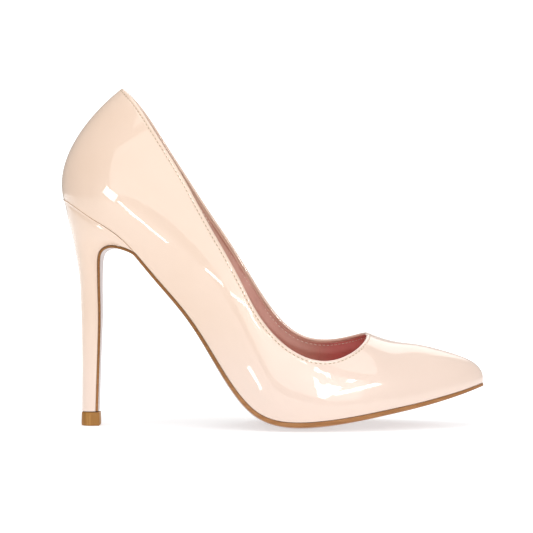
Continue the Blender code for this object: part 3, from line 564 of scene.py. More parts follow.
# ---- Materials ----
class Look:
    """A new material with its Principled BSDF and short ways to add procedural detail."""

    def __init__(self, name, **sockets):
        """Starts a material with values of the shader's sockets, with _ for each space in their names."""
        self.material = bpy.data.materials.new(name)
        self.material.use_nodes = True
        self.nodes = self.material.node_tree.nodes
        self.links = self.material.node_tree.links
        self.shader = self.nodes["Principled BSDF"]
        for socket, value in sockets.items():
            self.shader.inputs[socket.replace("_", " ")].default_value = value
        self.place = self.nodes.new("ShaderNodeTexCoord").outputs["Object"]

    def node(self, kind, **inputs):
        """A new node whose inputs are values or links from other nodes."""
        made = self.nodes.new(kind)
        for socket, value in inputs.items():
            name = socket.replace("_", " ")
            if isinstance(value, bpy.types.NodeSocket):
                self.links.new(value, made.inputs[name])
            else:
                made.inputs[name].default_value = value
        return made

    def stretched(self, scale):
        """The place on the object with its axes scaled."""
        return self.node("ShaderNodeMapping", Vector=self.place, Scale=scale).outputs["Vector"]

    def noise(self, scale, detail=3.0, roughness=0.5, vector=None):
        """Noise from 0 to 1."""
        settings = {"Scale": scale, "Detail": detail, "Roughness": roughness}
        return self.node("ShaderNodeTexNoise", Vector=vector or self.place, **settings).outputs["Fac"]

    def cells(self, scale):
        """Distance from the middles of small cells."""
        return self.node("ShaderNodeTexVoronoi", Vector=self.place, Scale=scale).outputs["Distance"]

    def ramp(self, value, *stops):
        """Colours at places from 0 to 1."""
        made = self.node("ShaderNodeValToRGB", Fac=value)
        elements = made.color_ramp.elements
        while len(elements) < len(stops):
            elements.new(0.5)
        for element, (place, colour) in zip(elements, stops):
            element.position = place
            element.color = (*colour, 1)
        return made.outputs["Color"]

    def mix(self, factor, a, b, kind="MIX"):
        """A blend from colour a to colour b."""
        made = self.nodes.new("ShaderNodeMix")
        made.data_type = "RGBA"
        made.blend_type = kind
        for index, value in ((0, factor), (6, a), (7, b)):
            if isinstance(value, bpy.types.NodeSocket):
                self.links.new(value, made.inputs[index])
            else:
                made.inputs[index].default_value = value if index == 0 else (*value, 1)
        return made.outputs[2]

    def arithmetic(self, operation, *values):
        """The result of an operation on values from other nodes."""
        made = self.nodes.new("ShaderNodeMath")
        made.operation = operation
        for value, socket in zip(values, made.inputs):
            self.links.new(value, socket)
        return made.outputs["Value"]

    def along(self, axis, low, high):
        """0 to 1 between two places along an axis, in millimetres."""
        split = self.node("ShaderNodeSeparateXYZ", Vector=self.place)
        return self.risen(split.outputs[axis], low, high)

    def risen(self, value, low, high):
        """A smooth rise from 0 to 1 while a length goes from low to high, in millimetres."""
        made = self.node("ShaderNodeMapRange", Value=value, From_Min=low * MM, From_Max=high * MM)
        made.interpolation_type = "SMOOTHSTEP"
        return made.outputs["Result"]

    def back_seam(self):
        """0 in the closed seam down the back of the quarters and 1 away from it."""
        half_width = 0.45
        split = self.node("ShaderNodeSeparateXYZ", Vector=self.place)
        offset = self.arithmetic("ABSOLUTE", split.outputs["Y"])
        aside = self.risen(offset, 0, half_width)
        elsewhere = self.arithmetic("MAXIMUM", self.along("X", -73, -71), self.along("Z", 111, 109))
        return self.arithmetic("MAXIMUM", aside, elsewhere)

    def colour(self, value):
        """Sets the base colour."""
        self.links.new(value, self.shader.inputs["Base Color"])
        return self

    def roughness(self, value, low, high):
        """Sets the roughness between two levels."""
        made = self.node("ShaderNodeMapRange", Value=value, To_Min=low, To_Max=high)
        self.links.new(made.outputs["Result"], self.shader.inputs["Roughness"])
        return self

    def bump(self, value, height, coat=False):
        """A bump of a height in millimetres. Bumps stack on one another."""
        made = self.node("ShaderNodeBump", Height=value, Strength=1.0, Distance=height * MM)
        earlier = self.shader.inputs["Normal"].links
        if earlier:
            self.links.new(earlier[0].from_socket, made.inputs["Normal"])
        self.links.new(made.outputs["Normal"], self.shader.inputs["Normal"])
        if coat:
            self.links.new(made.outputs["Normal"], self.shader.inputs["Coat Normal"])
        return self

    def finish(self, texture, stops, roughness, height):
        """Colours, roughens and bumps the surface by one texture, and gives the material."""
        self.colour(self.ramp(texture, *stops))
        self.roughness(texture, *roughness)
        self.bump(texture, height)
        return self.material


def patent_look():
    """Patent leather: a soft skin colour under a thick clear coat that is not quite flat. Its colour holds
    painted shade, darker towards the heel, and a painted reflection of the pale floor, paler towards the
    bottom.
    """
    look = Look("patent", Roughness=0.42, Coat_Weight=1.0, Coat_Roughness=0.02, Coat_IOR=1.6)
    drift = look.noise(28, 3)
    tone = look.ramp(drift, (0.3, (0.885, 0.665, 0.515)), (0.7, (0.905, 0.69, 0.545)))
    # Painted shade and light: darker towards the heel and paler towards the toe
    paler = look.mix(look.along("X", -60, 60), tone, (0.91, 0.705, 0.585))
    # Painted reflection of the pale floor: paler towards the bottom
    low = look.mix(look.along("Z", 60, 8), paler, (0.915, 0.72, 0.61))
    pores = look.ramp(look.cells(2600), (0.0, (0.94, 0.94, 0.94)), (0.25, (1, 1, 1)))
    look.colour(look.mix(0.35, low, pores, "MULTIPLY"))
    look.roughness(drift, 0.36, 0.46)
    look.bump(look.noise(70, 2), 0.06, coat=True)
    look.bump(look.back_seam(), 0.25, coat=True)
    return look.material


def lining_look():
    """Smooth lining leather: tan pink in the quarters, wine pink in the vamp, with fine grain."""
    look = Look("lining", Roughness=0.5, Specular_IOR_Level=0.35)
    drift = look.noise(60, 4)
    back = look.ramp(drift, (0.3, (0.49, 0.27, 0.195)), (0.7, (0.60, 0.34, 0.255)))
    waist = look.ramp(drift, (0.3, (0.60, 0.30, 0.24)), (0.7, (0.70, 0.37, 0.30)))
    vamp = look.ramp(drift, (0.3, (0.64, 0.215, 0.20)), (0.7, (0.78, 0.29, 0.275)))
    quarter = look.mix(look.along("X", -40, -5), back, waist)
    look.colour(look.mix(look.along("X", 16, 34), quarter, vamp))
    look.roughness(look.noise(500, 2), 0.42, 0.62)
    look.bump(look.noise(130, 3), 0.16)
    look.bump(look.cells(1900), 0.035)
    return look.material


def suede_look():
    """Suede of the heel grip, with a fine nap."""
    look = Look("suede", Roughness=0.95, Sheen_Weight=0.35, Sheen_Roughness=0.4, Specular_IOR_Level=0.15)
    nap = look.noise(2600, 3)
    patches = look.noise(90, 3)
    look.colour(look.mix(patches, (0.40, 0.235, 0.18), (0.50, 0.30, 0.235)))
    look.roughness(patches, 0.88, 0.98)
    look.bump(nap, 0.06)
    return look.material


def edge_look():
    """Dressed sole edge: tan under the ball and darker brown up the waist, with fine layers along it."""
    look = Look("sole_edge", Roughness=0.42, Specular_IOR_Level=0.4)
    layers = look.noise(90, 4, 0.6, look.stretched((1, 1, 9)))
    ball_tans = ((0.31, 0.125, 0.035), (0.39, 0.165, 0.05), (0.47, 0.22, 0.08))
    waist_browns = ((0.22, 0.08, 0.013), (0.28, 0.11, 0.02), (0.34, 0.15, 0.035))
    ball, waist = (look.ramp(layers, *zip((0.28, 0.5, 0.75), shades)) for shades in (ball_tans, waist_browns))
    look.colour(look.mix(look.along("Z", 8, 40), ball, waist))
    look.roughness(layers, 0.34, 0.55)
    look.bump(layers, 0.05)
    return look.material


def raw_edge_look():
    """Skived raw edge of the heel cover, a light tan with a fibrous grain."""
    look = Look("raw_edge", Roughness=0.6, Specular_IOR_Level=0.3)
    fibres = look.noise(900, 4, 0.65)
    return look.finish(fibres, ((0.3, (0.42, 0.22, 0.10)), (0.7, (0.60, 0.37, 0.21))), (0.5, 0.75), 0.03)


def sole_look():
    """The outsole's underside: smooth tan paled to mauve grey by a painted sheen, with a fine grain, and
    paler scuffs.
    """
    look = Look("sole", Roughness=0.3, Specular_IOR_Level=0.5)
    grain = look.noise(700, 4, 0.65)
    drift = look.noise(35, 3)
    # Painted sheen: the leather's tan painted paler and greyer, towards mauve
    tan = look.ramp(drift, (0.3, (0.55, 0.44, 0.41)), (0.7, (0.64, 0.53, 0.50)))
    scuffs = look.noise(60, 5, 0.7, look.stretched((1, 9, 1)))
    worn = look.ramp(scuffs, (0.52, (0, 0, 0)), (0.66, (0.5, 0.5, 0.5)))
    look.colour(look.mix(worn, tan, (0.70, 0.61, 0.57)))
    look.roughness(grain, 0.24, 0.4)
    look.bump(grain, 0.02)
    look.bump(look.cells(900), 0.02)
    return look.material


def lift_look():
    """Moulded polyurethane top lift: caramel, with faint upright marks from trimming."""
    look = Look("top_lift", Roughness=0.45, Specular_IOR_Level=0.4)
    marks = look.noise(700, 4, 0.6, look.stretched((1, 1, 0.06)))
    caramels = ((0.3, (0.33, 0.14, 0.022)), (0.55, (0.41, 0.185, 0.035)), (0.75, (0.52, 0.27, 0.08)))
    return look.finish(marks, caramels, (0.38, 0.6), 0.03)


def thread_look(name, dark, light):
    """Twisted sewing thread."""
    look = Look(name, Roughness=0.6, Sheen_Weight=0.3)
    twist = look.noise(2200, 2, 0.5, look.stretched((1, 1, 2.4)))
    look.colour(look.ramp(twist, (0.35, dark), (0.65, light)))
    look.bump(twist, 0.04)
    return look.material


def cloth_look(name, dark, light, scale, height):
    """A woven cloth: two crossed waves of threads."""
    look = Look(name, Roughness=0.85, Sheen_Weight=0.2, Specular_IOR_Level=0.2)
    threads = []
    for direction in ("X", "Z"):
        wave = look.node("ShaderNodeTexWave", Vector=look.place, Scale=scale, Distortion=0.4)
        wave.bands_direction = direction
        threads.append(wave.outputs["Fac"])
    crossed = look.arithmetic("MULTIPLY", *threads)
    look.colour(look.ramp(crossed, (0.1, dark), (0.6, light)))
    look.roughness(look.noise(300), 0.75, 0.95)
    look.bump(crossed, height)
    return look.material


def board_look():
    """Cellulose insole board: pressed fibres with darker flecks."""
    look = Look("board", Roughness=0.85, Specular_IOR_Level=0.2)
    fibres = look.noise(420, 6, 0.7, look.stretched((1, 3, 1)))
    browns = ((0.3, (0.36, 0.24, 0.14)), (0.5, (0.46, 0.33, 0.20)), (0.8, (0.56, 0.43, 0.29)))
    return look.finish(fibres, browns, (0.75, 0.95), 0.05)


def foam_look():
    """Open foam of the sock's padding."""
    look = Look("foam", Roughness=0.9, Specular_IOR_Level=0.2)
    creams = ((0.05, (0.62, 0.56, 0.44)), (0.4, (0.80, 0.76, 0.65)))
    return look.finish(look.cells(1400), creams, (0.8, 0.95), 0.12)


def steel_look():
    """Drawn steel with fine lines along it."""
    look = Look("steel", Metallic=1.0, Roughness=0.3)
    lines = look.noise(900, 3, 0.6, look.stretched((1, 1, 0.08)))
    return look.finish(lines, ((0.3, (0.50, 0.50, 0.52)), (0.7, (0.66, 0.66, 0.68))), (0.22, 0.42), 0.01)


def heel_plastic_look():
    """Moulded heel block: off-white with faint flow marks."""
    look = Look("heel_plastic", Roughness=0.45, Specular_IOR_Level=0.4)
    flow = look.noise(120, 4, 0.6, look.stretched((1, 1, 0.3)))
    look.colour(look.ramp(flow, (0.3, (0.78, 0.74, 0.66)), (0.7, (0.88, 0.85, 0.79))))
    look.roughness(flow, 0.38, 0.52)
    look.bump(look.noise(900, 2), 0.01)
    return look.material


PATENT = patent_look()
LINING = lining_look()
SUEDE = suede_look()
SOLE_EDGE = edge_look()
RAW_EDGE = raw_edge_look()
SOLE = sole_look()
LIFT = lift_look()
THREAD = thread_look("thread", (0.38, 0.28, 0.15), (0.54, 0.42, 0.25))
# Bobbin thread of a light colour, painted paler still as painted glints along the inner stitches
BOBBIN_THREAD_PAINTED_GLINT = thread_look("bobbin_thread_painted_glint", (0.72, 0.56, 0.46), (0.92, 0.80, 0.70))
STIFFENER = cloth_look("stiffener", (0.50, 0.45, 0.36), (0.70, 0.65, 0.55), 420, 0.06)
TAPE = cloth_look("tape", (0.70, 0.68, 0.62), (0.88, 0.86, 0.81), 700, 0.04)
BOARD = board_look()
FOAM = foam_look()
STEEL = steel_look()
HEEL_PLASTIC = heel_plastic_look()
SLOT_LOOKS = {
    "patent": PATENT, "lining": LINING, "suede": SUEDE, "stiffener": STIFFENER, "tape": TAPE,
    "thread": THREAD, "board": BOARD, "foam": FOAM, "steel": STEEL, "sole": SOLE,
    "heel_plastic": HEEL_PLASTIC, "top_lift": LIFT,
}


# ---- The upper and what is fixed along its topline ----
SHARES, EDGE, EDGE_DOWN, EDGE_NORMAL, WALL = make_wall_grid()
WALL_NORMALS = grid_normals(WALL)
# Distance from the opening's edge of each column's and row's point
BELOW = EDGE_ROWS[0] + np.concatenate(
    [np.zeros((len(WALL), 1)), np.cumsum(np.linalg.norm(np.diff(WALL, axis=1), axis=2), axis=1)], axis=1
)


def stitched(distance):
    """How far the leather puffs out (or, in the seam's groove, sinks) at a distance below the topline."""
    groove, puff = 0.17, 0.06
    puff_inset, puff_width, groove_width = 0.8, 0.4, 0.28
    raised = puff * np.exp(-((distance - puff_inset) / puff_width) ** 2)
    return raised - groove * np.exp(-((distance - STITCH_INSET) / groove_width) ** 2)


def make_upper():
    """Patent upper: the wall, its folded top edge and the margin that turns in under the insole."""
    outer = WALL + WALL_NORMALS * stitched(BELOW)[..., None]
    ends = feather_station(SHARES)
    up, out = bottom_normal(station_of(ends)), outward(ends)
    foot = WALL[:, -1]
    turn_radius, margin, margin_rise = 0.32, 2.4, 0.15
    under = [
        foot - out * turn_radius * (1 - math.cos(angle)) - up * turn_radius * math.sin(angle)
        for angle in (math.pi / 6, math.pi / 3, math.pi / 2)
    ]
    under.append(foot - out * margin - up * (turn_radius - margin_rise))
    first_row, last_row, row_step = 3, WALL.shape[1] - 3, 8
    inner_rows = list(range(last_row, first_row, -row_step)) + [first_row]
    inner = [WALL[:, row] - WALL_NORMALS[:, row] * UPPER_THICKNESS for row in inner_rows]
    fold_drop = 0.6 * FOLD_RADIUS
    centre = EDGE + EDGE_DOWN * fold_drop - EDGE_NORMAL * FOLD_RADIUS
    fold = [
        centre + FOLD_RADIUS * (EDGE_NORMAL * math.cos(angle) - EDGE_DOWN * math.sin(angle))
        for angle in np.radians((205, *range(180, 0, -30)))
    ]
    ring = np.concatenate([outer, np.stack(under + inner + fold, axis=1)], axis=1)
    faces = ring_faces(*ring.shape[:2], True, True)
    upper = add_mesh("patent_upper", ring.reshape(-1, 3), faces, [PATENT])
    return settle(upper, "patent", "upper")


def lining_depth(distance):
    """How deep the lining's back lies: close behind the folded edge, deeper behind the stiffeners."""
    top, full, start, end = 1.28, 3.1, 1.6, 7.5
    return top + (full - top) * smoothstep((distance - start) / (end - start))


def wrinkles(points):
    """Height of the creases that walking leaves in the medial lining, in millimetres."""
    height = np.zeros(points.shape[:-1])
    steep, narrow, long = 0.9, 1.1, 4.0
    creases = ((-28, 97, 0.8), (-24.5, 92, 1.2), (-21, 87, 1.3), (-17.5, 82, 1.3), (-14.5, 76, 0.8))
    for x, z, size in creases:
        across = (points[..., 0] - x) * math.sin(steep) + (points[..., 2] - z) * math.cos(steep)
        along = (points[..., 0] - x) * math.cos(steep) - (points[..., 2] - z) * math.sin(steep)
        height += size * np.exp(-((across / narrow) ** 2) - (along / long) ** 2)
    return height * (points[..., 1] > 0)


def crisp_ends(grid):
    """Adds a column close to each end of a grid, so that subdivision keeps its ends square."""
    close = 0.05
    first = grid[0] + (grid[1] - grid[0]) * close
    last = grid[-1] + (grid[-2] - grid[-1]) * close
    return np.concatenate([grid[:1], first[None], grid[1:-1], last[None], grid[-1:]])


def read_between(places, known, points):
    """Points read at some places of a line whose points are known at others."""
    return np.stack([np.interp(places, known, points[:, axis]) for axis in range(3)], axis=1)


def lining_piece(name, node, first, last, material, slot, thickness=0.6):
    """A lining panel over the columns from one to another, which may run on past the last column."""
    top_inset, foot_height, rows, evenness = 1.7, 4.4, 34, 0.35
    skived, skive_width, groove_depth, groove_width = 0.22, 1.6, 0.1, 0.3
    outer, inner = [], []
    for column in range(first, last + 1):
        column %= WALL_COLUMNS
        end = BELOW[column, -1] - foot_height
        spread = np.linspace(0, 1, rows)
        distances = top_inset + (end - top_inset) * (evenness * spread + (1 - evenness) * spread**2)
        point = read_between(distances, BELOW[column], WALL[column])
        normal = unit(read_between(distances, BELOW[column], WALL_NORMALS[column]))
        depth = lining_depth(distances)
        full = skived + (thickness - skived) * smoothstep((distances - top_inset) / skive_width)
        groove = groove_depth * np.exp(-((distances - BOBBIN_INSET) / groove_width) ** 2)
        outer.append(point - normal * depth[:, None])
        inner.append(point - normal * (depth + full - groove)[:, None])
    outer, inner = crisp_ends(np.array(outer)), crisp_ends(np.array(inner))
    inner = inner - grid_normals(inner, closed=False) * wrinkles(inner)[..., None]
    return settle(sheet_mesh(name, outer, inner, [material]), slot, node)


def column_at(station):
    """The number of the wall column that ends at a place of the feather edge."""
    return int(np.searchsorted(feather_station(SHARES), station))


def make_linings():
    """Vamp lining, two quarter linings and the suede heel grip, which meet edge to edge."""
    vamp_end, grip_start = 7.0, 14.2
    lateral, medial = column_at(vamp_end), column_at(AROUND - vamp_end)
    grip, grip_end = column_at(grip_start), column_at(AROUND - grip_start)
    lining_piece("vamp_lining_leather", "vamp_lining", medial, WALL_COLUMNS + lateral, LINING, "lining")
    lining_piece("lateral_lining_leather", "quarter_lining_lateral", lateral, grip, LINING, "lining")
    lining_piece("medial_lining_leather", "quarter_lining_medial", grip_end, medial, LINING, "lining")
    lining_piece("heel_grip_suede", "heel_grip", grip, grip_end, SUEDE, "suede", 0.75)


def make_tape():
    """Reinforcing tape between the folded edge and the lining."""
    depth, thickness, start, end, rows = 1.23, 0.03, 1.4, 2.6, 5
    distances = np.linspace(start, end, rows)
    outer = EDGE[:, None] + EDGE_DOWN[:, None] * distances[:, None] - EDGE_NORMAL[:, None] * depth
    inner = outer - EDGE_NORMAL[:, None] * thickness
    tape = sheet_mesh("topline_tape_cloth", outer, inner, [TAPE], True, 0)
    return settle(tape, "tape", "topline_tape")


def along_edge(places, below, depth):
    """Points, directions and normals at places round the opening, given in millimetres from the throat."""
    shares = np.asarray(places) / EDGE_LENGTH % 1
    order = np.append(SHARES, 1.0)
    loops = (np.concatenate([array, array[:1]]) for array in (EDGE, EDGE_DOWN, EDGE_NORMAL))
    edge, down, normal = (read_between(shares, order, loop) for loop in loops)
    return edge + down * below - normal * depth, down, normal


def make_stitches():
    """The topline seam's stitches, outside in the groove of the fold and inside on the lining."""
    count = round(EDGE_LENGTH / STITCH_PITCH)
    length, radius, lift, sink, inner_depth, outer_depth = 1.5, 0.2, 0.02, 0.26, 0.4, 0.15
    steps, sides, thinning, thinnest = 7, 6, 0.85, 0.05
    points, faces, kinds = [], [], []
    tube = tube_faces(steps, sides)
    for inside in (False, True):
        below = BOBBIN_INSET if inside else STITCH_INSET
        face_depth = lining_depth(BOBBIN_INSET) + inner_depth if inside else outer_depth
        for stitch in range(count):
            middle = (stitch + 0.5) * EDGE_LENGTH / count
            spots = middle + np.linspace(-length / 2, length / 2, steps)
            centres, down, normal = along_edge(spots, below, face_depth)
            raised = normal * (-1 if inside else 1)
            share = np.linspace(-1, 1, steps)[:, None]
            centres = centres + raised * (lift - (sink + lift) * share**4)
            base = len(points)
            for centre, side, up, place in zip(centres, down, raised, share[:, 0]):
                thin = radius * math.sqrt(max(1 - thinning * place**4, thinnest))
                for corner in range(sides):
                    angle = 2 * math.pi * corner / sides
                    points.append(centre + (side * math.cos(angle) + up * math.sin(angle)) * thin)
            faces += [tuple(base + index for index in face) for face in tube]
            kinds += [int(inside)] * len(tube)
    stitches = add_mesh("topline_stitches", points, faces, [THREAD, BOBBIN_THREAD_PAINTED_GLINT], 0, kinds)
    return settle(stitches, "thread", "topline_stitching")


# ---- The bottom: sock, outsole, heel ----
def pad(name, heights, clearance, look, rounding):
    """A layer of the insole as a closed pad, between two heights, with its edge rounded over."""
    low, high = heights
    toe, heel, rows, strips, end_length = 2.0, 15.3, 90, 22, 0.7
    crowding, wall_bow, least_end, least_edge = 1.5, 0.85, 0.04, 0.05
    s = np.linspace(toe, heel, rows)
    share = np.linspace(-1, 1, strips)
    share = np.sign(share) * (1 - (1 - np.abs(share)) ** crowding)
    flared = half_width(s) + high * np.tan(np.radians(keyed(FLARE, s)[:, 0])) * wall_bow
    reach = np.maximum(flared - clearance, 1.0) / half_width(s)
    closing = np.minimum(np.minimum(s - toe, heel - s) / end_length, 1)
    reach = reach * np.sqrt(np.maximum(1 - (1 - closing) ** 2, least_end))
    grid_s = np.repeat(s[:, None], strips, axis=1)
    across = share[None, :] * reach[:, None]
    rim = 1 - np.exp(-((1 - np.abs(share)) * half_width(s)[:, None] + least_edge) / rounding)
    top = bottom(grid_s, across, (low + (high - low) * rim)[..., None])
    under = bottom(grid_s, across, low)
    return sheet_mesh(name, top, under, [look])


def make_sock():
    """Padded sock: the leather on top and the foam under it."""
    sock = settle(pad("sock_leather", (7.35, 8.25), 4.3, LINING, 0.5), "lining", "sock_lining")
    foam = settle(pad("sock_foam", (5.45, 7.25), 4.6, FOAM, 0.9), "foam", "sock_cushion")


def feather_rows(s):
    """The feather edge at stations, as x, z, lateral and medial half width."""
    lateral, medial = feather(s), feather(AROUND - s)
    return np.stack([lateral[..., 0], lateral[..., 2], -lateral[..., 1], medial[..., 1]], axis=-1)


FLAP = (
    tuple(feather_rows(np.array(SEAT_START - 0.25))),
    tuple(feather_rows(np.array(SEAT_START))),
    *((x, z, wide, wide) for x, z, wide, *back in HEEL_LEVELS),
)


def sole_edge(q):
    """The sole's upper edge: x, z, lateral and medial half width. Past the seat it goes down the heel."""
    on_feather = (q <= SEAT_START)[..., None]
    return np.where(on_feather, feather_rows(np.minimum(q, SEAT_START)), smooth(FLAP, q - SEAT_LEVEL + 1))


def sole_places(per_station, per_level):
    """Places along the sole. The stretch between the seat's start and level 0 is skipped."""
    toe_places, seat_gap, last_step = (0.0, 0.03, 0.07), 0.06, 0.03
    ahead = np.arange(1, int((SEAT_START - seat_gap) * per_station) + 1) / per_station
    behind = SEAT_LEVEL + np.arange(0, LAST_LEVEL * per_level + 1) / per_level
    return np.concatenate([toe_places, ahead, behind[:-1], [behind[-1] - last_step, behind[-1]]])


def evened(values, times=1):
    """Evens out values along a line, apart from its ends."""
    for _ in range(times):
        values[1:-1] = (values[:-2] + 2 * values[1:-1] + values[2:]) / 4
    return values


def make_outsole():
    """Outsole with its flap down the heel's front: a tan dressed edge and a paler underside, its mauve grey
    partly a painted sheen.
    """
    per_station, per_level, strips, flap_thickness, widest = 8, 8, 20, 1.2, 0.97
    q = sole_places(per_station, per_level)
    edge = sole_edge(q)
    slope = evened(-np.gradient(edge[:, :2], axis=0), 2)
    normal = upright(slope[:, 0], slope[:, 1])
    on_sole = np.minimum(q, HEEL)
    thick = evened(np.where(q < SEAT_LEVEL, keyed(SOLE_THICKNESS, on_sole)[:, 0], flap_thickness))
    crown = np.maximum(keyed(CROWN, on_sole)[:, 0], 0)
    spread = np.linspace(-widest, widest, strips)
    corner = ((0.995, 0.08), (1.0, 0.2), (1.0, 0.5), (1.0, 0.9), (1.0, 1.0))
    # Known fault: the medial rim should run down from the upper face. As it runs up, the section crosses
    # itself there and most of that rim's faces point inwards.
    section_places = [(share, 1.0, 0.0) for share in spread]
    section_places += [(share, height, 1.0) for share, height in corner]
    section_places += [(share, 0.0, 0.0) for share in spread[::-1]]
    section_places += [(-share, height, 1.0) for share, height in corner]
    rings = np.array([
        [sole_point(*parts, *place) for place in section_places] for parts in zip(edge, normal, crown, thick)
    ])
    rings[..., 2] = np.maximum(rings[..., 2], 0)
    columns, rows = rings.shape[:2]
    faces = ring_faces(columns, rows, False, True)
    edge_rows = {*range(strips - 1, strips + len(corner)), *range(rows - len(corner) - 1, rows)}
    kinds = [0 if index % rows in edge_rows else 1 for index in range(len(faces))]
    for base in (0, (columns - 1) * rows):
        faces.append(tuple(base + row for row in range(rows)))
        kinds.append(0)
    sole = add_mesh("outsole_leather", rings.reshape(-1, 3), faces, [SOLE_EDGE, SOLE], 1, kinds)
    return settle(sole, "sole", "outsole")


def sole_point(edge, normal, crown, thick, share, height, rim):
    """A point of the outsole's section: height is 1 at its upper face and 0 at its lower one."""
    x, z, lateral, medial = edge
    wide = medial if share > 0 else lateral
    least_bulge, bulge_rise, most_tuck, tuck_share = 0.12, 0.15, 0.5, 0.3
    bulge = (least_bulge + bulge_rise * math.sin(math.pi * height)) * rim
    tuck = (1 - height) * min(most_tuck, thick * tuck_share) * abs(share) ** 6
    y = math.copysign(wide * abs(share) + bulge - tuck, share)
    drop = crown * (1 - share * share) + thick * (1 - height)
    return np.array([x, y, z]) - normal * drop


HEEL_BACKS = {
    side: ((*CENTRE_LINE[-1], seat_width), *(row[3:] for row in HEEL_LEVELS))
    for side, seat_width in ((-1, SEAT_LATERAL), (1, SEAT_MEDIAL))
}


def heel_point(side, share, level):
    """The heel's outer face: share is 0 at its front edge and 1 at its back, level is 0 at the seat."""
    front_x, front_z, lateral, medial = np.moveaxis(sole_edge(SEAT_LEVEL + level), -1, 0)
    front_width = lateral if side < 0 else medial
    back_x, back_z, wide = np.moveaxis(smooth(HEEL_BACKS[side], level), -1, 0)
    least_swell = 1.001
    wide = np.maximum(wide, front_width * least_swell)
    opening = np.arccos(front_width / wide)
    angle = -opening + (math.pi / 2 + opening) * share
    depth = (np.sin(angle) + np.sin(opening)) / (1 + np.sin(opening))
    x = front_x + (back_x - front_x) * depth
    z = front_z + (back_z - front_z) * depth
    return np.stack([x, side * wide * np.cos(angle), z], axis=-1)


def heel_skin(side, share, level):
    """The heel's outer face, which starts at the seat exactly on the feather edge."""
    point = heel_point(side, share, level)
    s = SEAT_START + (HEEL - SEAT_START) * share
    on_feather = feather(s if side < 0 else AROUND - s)
    fade = np.where(level < 1, (1 - np.minimum(level, 1)) ** 2, 0)[..., None]
    return point + (on_feather - heel_point(side, share, np.zeros_like(level))) * fade


def make_heel_cover():
    """Patent cover round the heel's sides and back, its raw edges just inside the flap and the seat."""
    per_side, per_level, first_place, cover, last_step = 28, 10, 4, 0.7, 0.02
    even = np.linspace(0, 1, per_side)
    share = ((1 - np.cos(even * math.pi)) / 2 + even) / 2
    rim = [0.005, 0.05, 0.09, 0.14, 0.2, 0.26]
    end = LAST_LEVEL - last_step
    between = np.arange(first_place, LAST_LEVEL * per_level) / per_level
    level = np.concatenate([rim, between, [end, LAST_LEVEL]])
    columns = [(-1, one) for one in share] + [(1, one) for one in share[-2::-1]]
    outer = np.array([heel_skin(side, np.full(len(level), one), level) for side, one in columns])
    normal = grid_normals(outer, closed=False)
    centre = np.mean(outer, axis=0)
    facing = np.sum((outer - centre) * normal, axis=-1, keepdims=True)
    normal = normal * np.sign(np.median(facing))
    roll_height, roll_level, roll_width = 0.1, 0.16, 0.06
    outer += normal * (roll_height * np.exp(-((level - roll_level) / roll_width) ** 2))[:, None]
    ring = 2 * len(level)
    raw_rows = (0, ring - 1)
    kinds = [int(index % ring in raw_rows) for index in range((len(columns) - 1) * ring)]
    kinds += [0] * (2 * (len(level) - 1))
    inner = outer - normal * cover
    heel = sheet_mesh("heel_cover_patent", outer, inner, [PATENT, RAW_EDGE], face_material=kinds)
    return settle(heel, "patent", "heel_cover")


def arc(x, y, radius, start, end, count):
    """Points of an arc round a centre, between two angles in degrees."""
    angles = np.radians(np.linspace(start, end, count))
    return [(x + math.cos(angle) * radius, y + math.sin(angle) * radius) for angle in angles]


def make_top_lift():
    """Moulded top lift: a D with rounded lower corners, slightly narrower under the heel."""
    low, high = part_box("heel_top_lift")
    x_front, x_back = high[0] / MM, low[0] / MM
    wide, top = high[1] / MM, high[2] / MM
    inset, corner = 0.42, 0.9
    corner_x, corner_y = x_front - corner, wide - inset - corner
    outline = arc(x_back + wide, 0, wide, 90, 270, 25)
    outline += arc(corner_x, -corner_y, corner, -90, 0, 7)
    outline += [(x_front, y) for y in np.linspace(-wide / 3, wide / 3, 4)]
    outline += arc(corner_x, corner_y, corner, 0, 90, 7)
    outline = np.array(outline)
    middle = np.array([(x_front + x_back) / 2, 0])
    # Height and size of each ring of the outline, from the middle of the lower face to that of the upper one
    levels = (
        (0.0, 0.80), (0.0, 0.93), (0.12, 0.975), (0.45, 1.0), (2.0, 1.0), (4.5, 0.985),
        (top - 0.15, 0.965), (top, 0.94), (top, 0.6),
    )
    points = [(*(middle + (spot - middle) * size), z) for z, size in levels for spot in outline]
    lift = add_mesh("top_lift_moulding", points, tube_faces(len(levels), len(outline)), [LIFT], 1)
    return settle(lift, "top_lift", "heel_top_lift")


def dress_cad_nodes():
    """The hidden CAD pieces keep their shapes and take the material of their slot."""
    for row in frame["record"]["subparts"]:
        node = frame["nodes"][row["node"]]
        node.data.materials.clear()
        node.data.materials.append(SLOT_LOOKS[row["material_slot"]])


# ---- Studio ----
def make_floor():
    """A wide pale table, lit a little from within, that runs on to the horizon."""
    reach = 4000.0
    points = [(x, y, 0.0) for x in (-reach, reach) for y in (-reach, 0.0, reach)]
    faces = [(0, 3, 4, 1), (1, 4, 5, 2)]
    look = Look("studio_floor", Roughness=0.9, Specular_IOR_Level=0.0)
    look.colour(look.ramp(look.noise(3), (0.3, (0.70, 0.71, 0.72)), (0.7, (0.72, 0.73, 0.74))))
    look.shader.inputs["Emission Color"].default_value = (1, 1, 1, 1)
    near_glow, far_glow, far = 0.45, 0.9, 900
    glow = look.node("ShaderNodeMapRange", Value=look.along("Y", 0, far), To_Min=near_glow, To_Max=far_glow)
    look.links.new(glow.outputs["Result"], look.shader.inputs["Emission Strength"])
    mesh = bpy.data.meshes.new("studio_floor")
    mesh.from_pydata([tuple(np.array(point) * MM) for point in points], [], faces)
    mesh.materials.append(look.material)
    floor = add_object("studio_floor", mesh)


